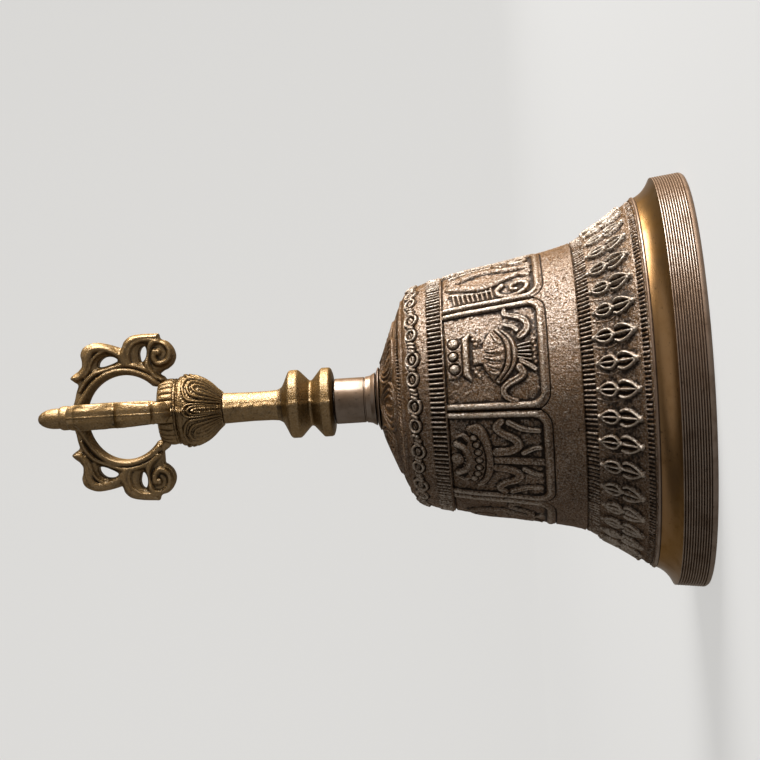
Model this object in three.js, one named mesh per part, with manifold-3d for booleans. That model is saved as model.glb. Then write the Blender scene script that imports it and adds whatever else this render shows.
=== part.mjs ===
// A hand bell of the Himalayan ritual kind: a cast bronze bell under a brass handle that ends in
// a ring of four scrolled prongs round a centre prong. Millimetres, +Z from the mouth to the tip,
// origin at the centre of the mouth, where the bell stands on its rim.
import * as THREE from "three";
import { mergeVertices } from "three/addons/utils/BufferGeometryUtils.js";
import Module from "manifold-3d";

const overallHeight = 144.8; // mouth to tip; the neck of the handle takes what the forms leave

// Bell shell, stacked upwards from the mouth
const mouthRadius = 45; // widest, at the foot of the ribbed band
const lipHeight = 1.2; // smooth lip under the ribbed band
const lipInset = 0.8;
const rimBandHeight = 5.8;
const rimBandTaper = 0.6;
const rimRibCount = 9;
const rimRibDepth = 0.4;
const coveHeight = 4.6; // smooth cove over the ribbed band
const coveTopRadius = 39.9;
const coveHollow = 0.35;
const beadRingHeight = 0.8; // thin ring that ends the cove
const beadRingProud = 0.35;
const fenceHeight = 13.8; // flared band of small standing vajras
const fenceTopRadius = 31.3;
const fenceHollow = 0.5;
const vajraCount = 39;
const vajraTurn = 1.0; // degrees from +X to the nearest vajra
const vajraProud = 0.9;
const vajraHalfWidth = 1.5;
const vajraLobeLength = 4.2;
const vajraLowerLobe = 4.7; // middle of each lobe over the cove
const vajraUpperLobe = 8.7;
const plainBandHeight = 6.2;
const panelFootRadius = 29.7;
const panelHeight = 21.8;
const panelTopRadius = 25.5;
const panelCount = 8;
const firstPanelEdge = -48.5; // degrees; the panels follow one another from here, clockwise from above
const firstPanelAngle = 49.2; // the first two were cast a little wider
const secondPanelAngle = 46.9;
const panelSink = 0.45; // field of a panel under the wall
const frameProud = 0.3; // ridges round a panel over the wall
const frameWidth = 3.0; // over both ridges of two neighbouring panels
const frameFoot = 0.7;
const frameFootHeight = 1.4;
const motifProud = 0.6; // raised sign over the field of its panel
const studRoot = 0.25; // how deep the edge of a raised form is set in the wall
const broadStud = 4.5; // half width from which a raised form is rounded to follow the wall
const barBandHeight = 3.2; // band of short upright bars over the panels
const barBandTopRadius = 24.8;
const shoulderHeight = 5.9;
const shoulderRadius = 20.8;
const shoulderBulge = 0.87;
const crownRidgeProud = 0.3; // thin ridge between shoulder and crown
const crownRidgeWidth = 0.7;
const crownRise = 5.5;
const crownBulge = 0.14;
const crownSeatRadius = 7.3; // flat that the collar stands on
const wallThickness = 2.6;
const lipThickness = 3.6; // flat foot of the wall, at the mouth
const crownThickness = 3.6;
const crownInnerBulge = 3.4; // roundness of the inside under the crown

// Collar, ferrule and handle stem
const seatGap = 0.3; // play between pieces that bear on each other
const collarHeight = 0.7;
const collarRadius = 6.9;
const ferruleHeight = 9.0;
const ferruleRadius = 5.0;
const ferruleFlare = 1.0; // how far the foot of the ferrule flares
const ferruleFlareHeight = 1.4;
const ferruleFlareHollow = 0.25;
const collarStep = 0.4;
const knobFlangeRadius = 7.6;
const knobUpperFlangeRadius = 7.5;
const knobWaistRadius = 5.0;
const knobChamfer = 0.6;
const knobFootChamfer = 1.2;
const knobShoulderBulge = 0.9;
const knobFlangeHeight = 2.0;
const knobWaistHeight = 4.8; // between the two flanges
const knobGrooveWidth = 0.6;
const knobShoulderHeight = 1.7;
const neckRadius = 3.3;
const spigotRadius = 2.2; // top of the stem, inside the lotus
const spigotLength = 5.2;

// Lotus base of the prongs
const lotusCupHeight = 9.6;
const lotusRadius = 7.6;
const lotusFootStep = 0.1; // lotus over the neck that it stands on
const lotusPetalCount = 8;
const lotusPetalProud = 0.55;
const lotusPetalWidth = 5.2;
const lotusPetalLength = 8.6;
const lotusPetalDepth = 1.6;
const lotusPetalMiddle = 5.6; // over the foot of the lotus
const lotusPetalLean = 0.16;
const lotusSwellHeight = 6.4;
const lotusSwellBow = 1.5;
const lotusGroove = 0.6;
const beadCount = 26;
const lotusBeadHeight = 3.6;
const beadBevel = 0.6;
const beadRingRadius = 7.3;
const beadDepth = 0.45;

// Prong crown: flat scrolled castings round a ring-shaped space
const prongCount = 4;
const prongThickness = 5.0;
const prongBevel = 0.5;
const ringInnerRadius = 8.7; // inside of the curved bars
const ringRise = 7.7; // ring centre over the lotus top
const barWidth = 3.2; // curved bar under the scrolls
const beakReach = 5.9; // how far each form stands out from the inside of the bar
const scrollReach = 8.8;
const leafReach = 10.5;
const voluteReach = 9.8;
const bentProng = 2; // the prong towards -X was bent out a little more than the others
const bentProngBulge = 1.2;
const bentProngLean = 0.935;
const prongFootWidth = 2.6;
const prongFootInner = 5.9;
const centreProngRadius = 2.2;
const centreProngWaist = 1.3;
const centreBossHalf = 2.3; // half width of the square boss that the prongs are brazed to
const centreBossHeight = 4.2;
const prongEndHeight = 3.6; // depth of a prong where it meets the boss
const tipRadius = 2.7;
const tipLength = 7.9;
const tipCollarHeight = 1.2;
const tipStep = 0.2;
const tipBulge = 0.9;
const centreBeadProud = 0.3;
const centreBeadHeight = 1.2;
const centreBeadEnd = 0.4;
const centreSpigotRadius = 1.6;
const centreSpigotLength = 3.0;

// Eye bolt, washer and nut under the crown
const boltRadius = 2.4;
const boltPlay = 0.3;
const boltReach = 8.5; // how far the bolt goes up into the stem
const boltBoreSpare = 1.0;
const boltChamfer = 0.6;
const washerRadius = 7.0;
const washerThickness = 1.2;
const nutAcrossFlats = 8.4;
const nutThickness = 3.6;
const nutEdge = 0.4;
const eyeStandOff = 1.4; // bare bolt between nut and eye
const eyeRadius = 3.4;
const eyeWireRadius = 1.25;

// Link and clapper
const chainPlay = 0.5;
const linkWireRadius = 0.9;
const linkHalfWidth = 2.8;
const linkPitch = 7.4; // from the eye's wire to the link's own lower wire
const clapperEyeRadius = 3.2;
const clapperEyeWireRadius = 1.1;
const rodRadius = 1.5;
const rodLowerRadius = 1.9;
const rodLowerReach = 2.0; // thick end of the rod over the bob
const rodTaper = 3.0;
const bobRadius = 5.6;
const bobHeight = 9.5;
const bobNubLength = 3.0;
const bobNubWaist = 1.44;
const bobNubBulge = 1.26;
const bobCollarRadius = 3.2;
const bobCollarHeight = 1.4;
const bobWidestShare = 0.4;
const bobFlankBulge = 1.2;
const bobShoulderBulge = 1.0;
const bobCollarStep = 0.4;
const bobSocketDepth = 4.5;
const bobFloorGap = 1.2; // nub over the mouth plane

// Fineness of the round work
const bellFacets = 44;
const turnedFacets = 24;
const slimFacets = 16;
const wireFacets = 8;
const wireSteps = 20;
const prongInnerSteps = 12;
const cutOverrun = 1; // how far a cutting post passes the faces that it cuts

const wasm = await Module();
wasm.setup();

const bronze = { color: 0x7d6247, roughness: 0.42, metalness: 0.9 };
const brass = { color: 0xa58a4b, roughness: 0.38, metalness: 0.9 };
const paleMetal = { color: 0xa3907a, roughness: 0.32, metalness: 0.95 };
const darkIron = { color: 0x4a4643, roughness: 0.6, metalness: 0.8 };

// Levels that more than one piece uses
const rimBandTop = lipHeight + rimBandHeight;
const coveTop = rimBandTop + coveHeight;
const fenceFootRadius = coveTopRadius - beadRingHeight / 2;
const fenceTop = coveTop + fenceHeight;
const panelFoot = fenceTop + plainBandHeight;
const panelTop = panelFoot + panelHeight;
const barBandTop = panelTop + barBandHeight;
const shoulderTop = barBandTop + shoulderHeight;
const crownTop = shoulderTop + crownRise;
const crownUnder = crownTop - crownThickness;
const collarFoot = crownTop + seatGap;
const ferruleFoot = collarFoot + collarHeight + seatGap;
const stemFoot = ferruleFoot + ferruleHeight + seatGap;
const knobTop = stemFoot + 2 * (knobFlangeHeight + knobChamfer) + knobWaistHeight + knobShoulderHeight;
const bossTop = overallHeight - tipLength;
const ringCentre = bossTop - prongEndHeight - Math.sqrt(ringInnerRadius ** 2 - centreBossHalf ** 2);
const lotusTop = ringCentre - ringRise;
const lotusFoot = lotusTop - lotusBeadHeight - lotusGroove - lotusCupHeight;
const neckTop = lotusFoot - seatGap;
const boltHoleRadius = boltRadius + boltPlay;
const washerTop = crownUnder - seatGap;
const nutTop = washerTop - washerThickness - seatGap;
const nutFoot = nutTop - nutThickness;
const eyeCentre = nutFoot - eyeStandOff - eyeWireRadius - eyeRadius;
const linkPivot = eyeCentre - eyeRadius;
const linkTop = linkPivot + eyeWireRadius + chainPlay + linkWireRadius;
const clapperPivot = linkPivot - linkPitch;
const clapperEyeTop = clapperPivot + linkWireRadius + chainPlay + clapperEyeWireRadius;
const clapperEyeCentre = clapperEyeTop - clapperEyeRadius;
const bobNubFoot = bobFloorGap;
const bobFoot = bobNubFoot + bobNubLength;
const bobTop = bobFoot + bobHeight + bobCollarHeight;

// Turning a closed geometry into a solid and back
function solid(geometry) {
  const bare = geometry.index ? geometry.toNonIndexed() : geometry.clone();
  bare.deleteAttribute("normal");
  bare.deleteAttribute("uv");
  const merged = mergeVertices(bare, 1e-4);
  const triVerts = new Uint32Array(merged.index.array);
  const made = new wasm.Manifold(
    new wasm.Mesh({ numProp: 3, vertProperties: merged.attributes.position.array, triVerts }),
  );
  return made;
}

function geometryOf(manifold) {
  const mesh = manifold.getMesh();
  const geometry = new THREE.BufferGeometry();
  geometry.setAttribute("position", new THREE.BufferAttribute(mesh.vertProperties, mesh.numProp));
  geometry.setIndex(new THREE.BufferAttribute(mesh.triVerts, 1));
  geometry.computeVertexNormals();
  return geometry;
}

function named(name, shape, look) {
  const mesh = new THREE.Mesh(geometryOf(shape), new THREE.MeshStandardMaterial(look));
  mesh.name = name;
  return mesh;
}

// A turned piece about the Z axis; the profile runs up the outside and is [radius, height] pairs
function turned(profile, facets = turnedFacets) {
  const points = profile.map(([radius, height]) => new THREE.Vector2(radius, height));
  const geometry = new THREE.LatheGeometry(points, facets);
  geometry.rotateX(Math.PI / 2);
  return solid(geometry);
}

// Points from one profile point to another, bowed sideways by the bow at mid length;
// the first point is left out, so that stretches join end to end
function bowed([r0, z0], [r1, z1], bow, steps) {
  const length = Math.hypot(r1 - r0, z1 - z0);
  const outR = (z1 - z0) / length;
  const outZ = -(r1 - r0) / length;
  return Array.from({ length: steps }, (_, i) => {
    const t = (i + 1) / steps;
    const swell = 4 * t * (1 - t) * bow;
    return [r0 + (r1 - r0) * t + outR * swell, z0 + (z1 - z0) * t + outZ * swell];
  });
}

function ring(centreRadius, wireRadius) {
  return new THREE.TorusGeometry(centreRadius, wireRadius, wireFacets, wireSteps);
}

// Radius of the plain wall at a height between the cove and the bar band
function wallRadius(height) {
  if (height < fenceTop) {
    const share = (height - coveTop) / fenceHeight;
    const straight = fenceFootRadius + (fenceTopRadius - fenceFootRadius) * share;
    return straight - 4 * share * (1 - share) * fenceHollow;
  }
  return panelFootRadius + ((panelTopRadius - panelFootRadius) * (height - panelFoot)) / panelHeight;
}

// Side of the wall along the panels: foot ridge, sunk field, and back to the wall at the top
function panelSide() {
  const ridgeFoot = panelFoot + frameFoot;
  const ridgeTop = ridgeFoot + frameFootHeight;
  const at = (height, proud) => [wallRadius(height) + proud, height];
  return [
    at(panelFoot, 0),
    at(ridgeFoot, frameProud),
    at(ridgeTop, frameProud),
    at(ridgeTop + frameProud, -panelSink),
    at(panelTop - panelSink, -panelSink),
    at(panelTop, 0),
  ];
}

// Outer side of the bell from the foot of the lip to the flat of the crown
function bellOutside() {
  const lipRadius = mouthRadius - lipInset;
  const profile = [
    [lipRadius, 0],
    [mouthRadius, lipHeight / 2],
    [mouthRadius, lipHeight],
  ];
  const ribPitch = rimBandHeight / rimRibCount;
  for (let rib = 0; rib < rimRibCount; rib++) {
    const foot = lipHeight + rib * ribPitch;
    const radius = mouthRadius - (rimBandTaper * (rib + 1)) / rimRibCount;
    profile.push([radius - rimRibDepth, foot + ribPitch / 3]);
    profile.push([radius, foot + ribPitch]);
  }
  const bandTopPoint = profile[profile.length - 1];
  const beadFoot = [coveTopRadius, coveTop - beadRingHeight];
  profile.push(...bowed(bandTopPoint, beadFoot, -coveHollow, 3));
  profile.push([coveTopRadius + beadRingProud, coveTop - beadRingHeight / 2]);
  const fenceMiddle = (coveTop + fenceTop) / 2;
  profile.push([fenceFootRadius, coveTop]);
  profile.push([wallRadius(fenceMiddle), fenceMiddle]);
  profile.push([fenceTopRadius, fenceTop]);
  profile.push(...panelSide());
  profile.push([barBandTopRadius, barBandTop]);
  const ridgeFoot = [shoulderRadius, shoulderTop];
  profile.push(...bowed([barBandTopRadius, barBandTop], ridgeFoot, shoulderBulge, 3));
  profile.push([shoulderRadius - crownRidgeWidth / 2, shoulderTop + crownRidgeProud]);
  profile.push([shoulderRadius - crownRidgeWidth, shoulderTop + crownRidgeWidth / 3]);
  const seat = [crownSeatRadius, crownTop];
  profile.push(...bowed(profile[profile.length - 1], seat, crownBulge, 2));
  return profile;
}

// Inner side from the bolt hole down to the mouth
function bellInside() {
  const shoulderInner = [barBandTopRadius - wallThickness, barBandTop];
  const panelInner = [panelFootRadius - wallThickness, panelFoot];
  const fenceInner = [fenceTopRadius - wallThickness, fenceTop];
  const coveInner = [coveTopRadius - wallThickness, coveTop];
  const mouthInner = [mouthRadius - lipInset - lipThickness, 0];
  const profile = [[boltHoleRadius, crownTop], [boltHoleRadius, crownUnder]];
  const flat = [washerRadius + boltPlay, crownUnder];
  profile.push(flat);
  profile.push(...bowed(flat, shoulderInner, -crownInnerBulge, 3));
  profile.push(panelInner);
  profile.push(fenceInner);
  profile.push(...bowed(fenceInner, coveInner, fenceHollow, 2));
  profile.push(mouthInner);
  profile.push([mouthRadius - lipInset, 0]);
  return profile;
}

// A raised form bent round the wall, with its crest at the given depth over it and its edge in it
function stud(angle, height, depth, halfWidth, halfLength, floor = 0) {
  const shape = new THREE.OctahedronGeometry(1, halfWidth > broadStud ? 1 : 0);
  const place = shape.attributes.position;
  for (let i = 0; i < place.count; i++) {
    const level = height + place.getZ(i) * halfLength;
    const radius = wallRadius(level) - floor - studRoot + place.getX(i) * (depth + studRoot);
    const turn = angle + (place.getY(i) * halfWidth) / wallRadius(height);
    place.setXYZ(i, radius * Math.cos(turn), radius * Math.sin(turn), level);
  }
  return solid(shape);
}

// One small standing vajra of the fence, as its two lobes
function vajra(angle) {
  const turn = THREE.MathUtils.degToRad(vajraTurn);
  return [vajraLowerLobe, vajraUpperLobe].map((middle) =>
    stud(angle + turn, coveTop + middle, vajraProud, vajraHalfWidth, vajraLobeLength / 2));
}

// Upright double ridge between two panels, leaning with the wall
function frameSide(angle) {
  const foot = panelFoot + frameFoot + frameFootHeight / 2;
  const shape = new THREE.BoxGeometry(1, frameWidth, panelTop - foot);
  shape.translate(0, 0, (foot + panelTop) / 2);
  const place = shape.attributes.position;
  for (let i = 0; i < place.count; i++) {
    const proud = place.getX(i) > 0 ? frameProud : -2 * panelSink;
    place.setX(i, wallRadius(place.getZ(i)) + proud);
  }
  shape.rotateZ(angle);
  return solid(shape);
}

// Middle angle and half width, in degrees, of every panel
function panelPlaces() {
  const otherAngle = (360 - firstPanelAngle - secondPanelAngle) / (panelCount - 2);
  let edge = firstPanelEdge;
  return Array.from({ length: panelCount }, (_, i) => {
    const width = [firstPanelAngle, secondPanelAngle][i] ?? otherAngle;
    const place = { middle: edge - width / 2, half: width / 2 };
    edge -= width;
    return place;
  });
}

// Main forms of the eight lucky signs: across and up from the panel's foot, half width and half
// height, as shares of the panel's height
const vaseForms = [
  [0.01, 0.47, 0.28, 0.17], [0, 0.79, 0.24, 0.06],
  [0, 0.92, 0.2, 0.07], [0, 0.23, 0.09, 0.11],
];
const parasolForms = [
  [0, 0.74, 0.39, 0.15], [0, 0.34, 0.06, 0.25],
  [0.26, 0.44, 0.16, 0.12], [-0.26, 0.44, 0.16, 0.12],
];
const shellForms = [[0, 0.55, 0.24, 0.33]];
const knotForms = [[0, 0.52, 0.29, 0.34]];
const wheelForms = [[0, 0.55, 0.31, 0.31]];
const bannerForms = [[0, 0.65, 0.2, 0.34], [0, 0.38, 0.25, 0.09]];
const lotusForms = [[0, 0.67, 0.14, 0.25], [0.23, 0.58, 0.2, 0.14], [-0.23, 0.58, 0.2, 0.14]];
const fishForms = [[0.15, 0.58, 0.09, 0.34], [-0.15, 0.58, 0.09, 0.34]];
const signs = [
  vaseForms, parasolForms, shellForms, knotForms,
  wheelForms, bannerForms, lotusForms, fishForms,
];

// Ridge at the side of every panel and the sign in its field
function panelRelief() {
  return panelPlaces().flatMap(({ middle, half }, i) => {
    const radius = wallRadius(panelFoot + panelHeight / 2);
    const ridge = frameSide(THREE.MathUtils.degToRad(middle + half));
    const forms = signs[i].map((shares) => {
      const [across, up, halfWidth, halfHeight] = shares.map((share) => share * panelHeight);
      const angle = THREE.MathUtils.degToRad(middle) - across / radius;
      return stud(angle, panelFoot + up, motifProud, halfWidth, halfHeight, panelSink);
    });
    return [ridge, ...forms];
  });
}

function bellBody() {
  const wall = turned([...bellOutside(), ...bellInside()], bellFacets);
  return joined([wall, ...round(vajraCount, vajra).flat(), ...panelRelief()]);
}

// A washer-like turned piece with a straight hole for the bolt
function bored(outside, foot, top) {
  return turned([...outside, [boltHoleRadius, top], [boltHoleRadius, foot], outside[0]]);
}

// Flared foot ring between the crown and the ferrule
function crownCollar() {
  const top = collarFoot + collarHeight;
  return bored([[collarRadius, collarFoot], [ferruleRadius + collarStep, top]], collarFoot, top);
}

function ferrule() {
  const top = ferruleFoot + ferruleHeight;
  const flare = [ferruleRadius + ferruleFlare, ferruleFoot];
  const tubeFoot = [ferruleRadius, ferruleFoot + ferruleFlareHeight];
  const side = [flare, ...bowed(flare, tubeFoot, -ferruleFlareHollow, 3), [ferruleRadius, top]];
  return bored(side, ferruleFoot, top);
}

// Knob with two flanges, neck and spigot, one casting
function handleStem() {
  const lower = stemFoot + knobChamfer;
  const waistFoot = lower + knobFlangeHeight;
  const upper = waistFoot + knobWaistHeight;
  const grooveFoot = (waistFoot + upper - knobGrooveWidth) / 2;
  const upperTop = upper + knobFlangeHeight + knobChamfer;
  const boreTop = stemFoot + boltReach + boltBoreSpare;
  const profile = [
    [boltHoleRadius, stemFoot],
    [knobFlangeRadius - knobFootChamfer, stemFoot],
    [knobFlangeRadius, lower],
    [knobFlangeRadius, waistFoot],
    [knobWaistRadius, grooveFoot],
    [knobWaistRadius, grooveFoot + knobGrooveWidth],
    [knobUpperFlangeRadius, upper],
    [knobUpperFlangeRadius, upperTop - knobChamfer],
    ...bowed([knobUpperFlangeRadius, upperTop - knobChamfer], [neckRadius, knobTop], knobShoulderBulge, 4),
    [neckRadius, neckTop],
    [spigotRadius, neckTop],
    [spigotRadius, neckTop + spigotLength],
    [0, neckTop + spigotLength],
  ];
  const bore = [[0, boreTop], [boltHoleRadius, boreTop - boltBoreSpare], [boltHoleRadius, stemFoot]];
  return turned([...profile.slice(1), ...bore, profile[1]]);
}

// A straight cylinder along Z from one height to another
function post(radius, foot, top, facets = turnedFacets) {
  const geometry = new THREE.CylinderGeometry(radius, radius, top - foot, facets);
  geometry.rotateX(Math.PI / 2);
  geometry.translate(0, 0, (foot + top) / 2);
  return solid(geometry);
}

function round(count, make) {
  return Array.from({ length: count }, (_, i) => make((i * 2 * Math.PI) / count));
}

function joined(shapes) {
  return shapes.reduce((whole, shape) => whole.add(shape));
}

// One rounded petal standing against the cup of the lotus
function lotusPetal(angle) {
  const petal = new THREE.IcosahedronGeometry(1, 1);
  petal.scale(lotusPetalDepth, lotusPetalWidth / 2, lotusPetalLength / 2);
  petal.rotateY(lotusPetalLean);
  petal.translate(lotusRadius + lotusPetalProud - lotusPetalDepth, 0, lotusFoot + lotusPetalMiddle);
  petal.rotateZ(angle);
  return solid(petal);
}

// Ring of beads at the top of the lotus, one bevelled slice of a lobed outline
function lotusBeads() {
  const outline = [];
  for (let i = 0; i < 2 * beadCount; i++) {
    const angle = (i * Math.PI) / beadCount;
    const radius = beadRingRadius - beadBevel - (i % 2 ? beadDepth : 0);
    outline.push(new THREE.Vector2(radius * Math.cos(angle), radius * Math.sin(angle)));
  }
  const geometry = new THREE.ExtrudeGeometry(new THREE.Shape(outline), {
    depth: lotusBeadHeight - 2 * beadBevel,
    bevelEnabled: true,
    bevelThickness: beadBevel,
    bevelSize: beadBevel,
    bevelSegments: 1,
  });
  geometry.translate(0, 0, lotusTop - lotusBeadHeight + beadBevel);
  return solid(geometry);
}

function lotusBase() {
  const cupTop = lotusFoot + lotusCupHeight;
  const swellTop = [lotusRadius, lotusFoot + lotusSwellHeight];
  const foot = [neckRadius + lotusFootStep, lotusFoot];
  const cup = turned([
    [0, lotusFoot],
    foot,
    ...bowed(foot, swellTop, lotusSwellBow, 4),
    [lotusRadius, cupTop],
    [lotusRadius - lotusGroove, cupTop + lotusGroove],
    [lotusRadius - lotusGroove, lotusTop - lotusBeadHeight / 2],
    [0, lotusTop - lotusBeadHeight / 2],
  ]);
  const stemSocket = post(spigotRadius + seatGap, lotusFoot - cutOverrun, neckTop + spigotLength + seatGap);
  const prongSocketFoot = lotusTop - centreSpigotLength - seatGap;
  const prongSocket = post(centreSpigotRadius + seatGap, prongSocketFoot, lotusTop + cutOverrun);
  return joined([cup, ...round(lotusPetalCount, lotusPetal), lotusBeads()])
    .subtract(stemSocket)
    .subtract(prongSocket);
}

function smooth(points, stepsEach) {
  return new THREE.SplineCurve(points).getPoints(stepsEach * (points.length - 1));
}

// Forms of a prong seen from its flat side: degrees from the tip round the ring centre, and how far
// out from the inside of the bar, as a share of the width or reach that belongs to the form
const barCurve = [[24, 0.98], [33, 1.08], [36, 1.18]];
const beakCurve = [[35.5, 0.8], [36.3, 1], [48, 0.94]];
const scrollCurve = [[52, 0.67], [54.5, 0.8], [58, 0.95], [63, 1], [72, 0.94], [81, 0.79], [90, 0.68]];
const leafCurve = [[91, 0.64], [95, 0.78], [102, 0.87], [115.5, 1]];
const voluteCurve = [[118, 0.98], [124, 1], [131, 0.92], [135, 0.8], [136.4, 0.66], [135.5, 0.5]];
const scrollEye = [[63, 0.4], [67, 0.49], [74, 0.52], [79.5, 0.5], [82.5, 0.43], [75, 0.37]];
const leafEye = [[108, 0.39], [105.2, 0.52], [107, 0.66], [110, 0.62], [111.2, 0.47], [111.4, 0.37]];

// The whole outline of a prong: curved bar, beak, outer scroll, leaf scroll, volute and foot
function prongOutline(lean, bulge) {
  const at = (degrees, out) => {
    const angle = THREE.MathUtils.degToRad(degrees * lean);
    const distance = ringInnerRadius + out + bulge * Math.sin(angle) ** 2;
    return new THREE.Vector2(distance * Math.sin(angle), ringCentre + distance * Math.cos(angle));
  };
  const curve = (reach, points, stepsEach = 2) =>
    smooth(points.map(([degrees, share]) => at(degrees, share * reach)), stepsEach);
  const bar = curve(barWidth, barCurve, 1);
  const beak = curve(beakReach, beakCurve, 1);
  const scroll = curve(scrollReach, scrollCurve);
  const leaf = curve(leafReach, leafCurve);
  const volute = curve(voluteReach, voluteCurve);
  const endIn = centreBossHalf + seatGap;
  const innerAtEnd = Math.sqrt(ringInnerRadius ** 2 - endIn ** 2);
  const end = new THREE.Vector2(endIn, ringCentre + innerAtEnd + prongEndHeight);
  const footLevel = lotusTop + seatGap;
  const footOut = new THREE.Vector2(prongFootInner + prongFootWidth, footLevel);
  const footIn = new THREE.Vector2(prongFootInner, footLevel);
  const innerStart = THREE.MathUtils.radToDeg(Math.atan2(prongFootInner, footLevel - ringCentre));
  const innerEnd = THREE.MathUtils.radToDeg(Math.atan2(endIn, innerAtEnd));
  const inner = [];
  for (let i = 1; i <= prongInnerSteps; i++) {
    const degrees = innerStart + ((innerEnd - innerStart) * i) / prongInnerSteps;
    inner.push(at(degrees / lean, 0));
  }
  const shape = new THREE.Shape(
    [end, ...bar, ...beak, ...scroll, ...leaf, ...volute, footOut, footIn, ...inner]);
  shape.holes.push(new THREE.Path(curve(scrollReach, scrollEye, 1).reverse()));
  shape.holes.push(new THREE.Path(curve(leafReach, leafEye, 1).reverse()));
  return shape;
}

function prong(angle, lean = 1, bulge = 0) {
  const geometry = new THREE.ExtrudeGeometry(prongOutline(lean, bulge), {
    depth: prongThickness - 2 * prongBevel,
    bevelEnabled: true,
    bevelThickness: prongBevel,
    bevelSize: prongBevel,
    bevelOffset: -prongBevel,
    bevelSegments: 1,
  });
  geometry.translate(0, 0, prongBevel - prongThickness / 2);
  geometry.rotateX(Math.PI / 2);
  geometry.rotateZ(angle);
  return solid(geometry);
}

// Centre prong: spigot, foot bead, waisted shaft, square boss and bullet-shaped tip
function centreProng() {
  const foot = lotusTop + seatGap;
  const bossFoot = bossTop - centreBossHeight;
  const tipShoulder = [tipRadius - tipStep, bossTop + tipCollarHeight + 2 * tipStep];
  const shaftFoot = [centreProngRadius, foot + centreBeadHeight + centreBeadEnd];
  const shaft = turned([
    [0, foot - centreSpigotLength],
    [centreSpigotRadius, foot - centreSpigotLength],
    [centreSpigotRadius, foot],
    [centreProngRadius + centreBeadProud, foot],
    [centreProngRadius + centreBeadProud, foot + centreBeadHeight],
    ...bowed(shaftFoot, [centreProngRadius, bossFoot], centreProngWaist - centreProngRadius, 6),
    [centreProngRadius, bossTop],
    [tipRadius, bossTop + tipStep],
    [tipRadius, bossTop + tipCollarHeight],
    tipShoulder,
    ...bowed(tipShoulder, [0, overallHeight], tipBulge, 5),
  ], slimFacets);
  const boss = new THREE.BoxGeometry(2 * centreBossHalf, 2 * centreBossHalf, centreBossHeight);
  boss.translate(0, 0, bossTop - centreBossHeight / 2);
  return shaft.add(solid(boss));
}

// Bolt that clamps the handle to the crown, with the fixed eye at its lower end
function eyeBolt() {
  const eye = ring(eyeRadius, eyeWireRadius);
  eye.rotateX(Math.PI / 2);
  eye.translate(0, 0, eyeCentre);
  const shank = turned([
    [0, eyeCentre + eyeRadius],
    [eyeWireRadius, eyeCentre + eyeRadius],
    [boltRadius, nutFoot - seatGap],
    [boltRadius, stemFoot + boltReach - boltChamfer],
    [boltRadius - boltChamfer, stemFoot + boltReach],
    [0, stemFoot + boltReach],
  ], slimFacets);
  return shank.add(solid(eye));
}

function crownWasher() {
  const foot = washerTop - washerThickness;
  return bored([[washerRadius, foot], [washerRadius, washerTop]], foot, washerTop);
}

// Hexagon nut with its corners turned off
function lockNut() {
  const corner = nutAcrossFlats / Math.sqrt(3);
  const flat = nutAcrossFlats / 2;
  const hexagon = post(corner, nutFoot, nutTop, 6);
  const envelope = turned([
    [0, nutFoot],
    [flat, nutFoot],
    [corner, nutFoot + nutEdge],
    [corner, nutTop - nutEdge],
    [flat, nutTop],
    [0, nutTop],
  ]);
  const hole = post(boltHoleRadius, nutFoot - cutOverrun, nutTop + cutOverrun);
  return hexagon.intersect(envelope).subtract(hole);
}

// Long link: a ring pulled apart into two straight sides
function clapperLink() {
  const link = ring(linkHalfWidth, linkWireRadius);
  const straightHalf = (linkTop - clapperPivot) / 2 - linkHalfWidth;
  const place = link.attributes.position;
  for (let i = 0; i < place.count; i++) {
    const y = place.getY(i);
    place.setY(i, y > -1e-6 ? y + straightHalf : y - straightHalf);
  }
  link.rotateX(Math.PI / 2);
  link.rotateZ(Math.PI / 2);
  link.translate(0, 0, (linkTop + clapperPivot) / 2);
  return solid(link);
}

// Clapper rod with its own eye
function clapperRod() {
  const eye = ring(clapperEyeRadius, clapperEyeWireRadius);
  eye.rotateX(Math.PI / 2);
  eye.translate(0, 0, clapperEyeCentre);
  const rodFoot = bobTop - bobSocketDepth + seatGap;
  const rod = turned([
    [0, rodFoot],
    [rodLowerRadius, rodFoot],
    [rodLowerRadius, bobTop + rodLowerReach],
    [rodRadius, clapperEyeCentre - clapperEyeRadius - rodTaper],
    [clapperEyeWireRadius, clapperEyeCentre - clapperEyeRadius],
    [0, clapperEyeCentre - clapperEyeRadius],
  ], slimFacets);
  return rod.add(solid(eye));
}

// Turned bob with a small nub under it
function clapperBob() {
  const bobCollarFoot = bobTop - bobCollarHeight;
  const waist = [bobNubWaist, bobFoot];
  const widest = [bobRadius, bobFoot + bobHeight * bobWidestShare];
  const shoulder = [bobCollarRadius - bobCollarStep, bobCollarFoot];
  const socket = rodLowerRadius + seatGap;
  return turned([
    [0, bobNubFoot],
    ...bowed([0, bobNubFoot], waist, bobNubBulge, 4),
    ...bowed(waist, widest, bobFlankBulge, 3),
    ...bowed(widest, shoulder, bobShoulderBulge, 3),
    [bobCollarRadius, bobCollarFoot + bobCollarStep],
    [bobCollarRadius, bobTop],
    [socket, bobTop],
    [socket, bobTop - bobSocketDepth],
    [0, bobTop - bobSocketDepth],
  ], slimFacets);
}

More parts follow.
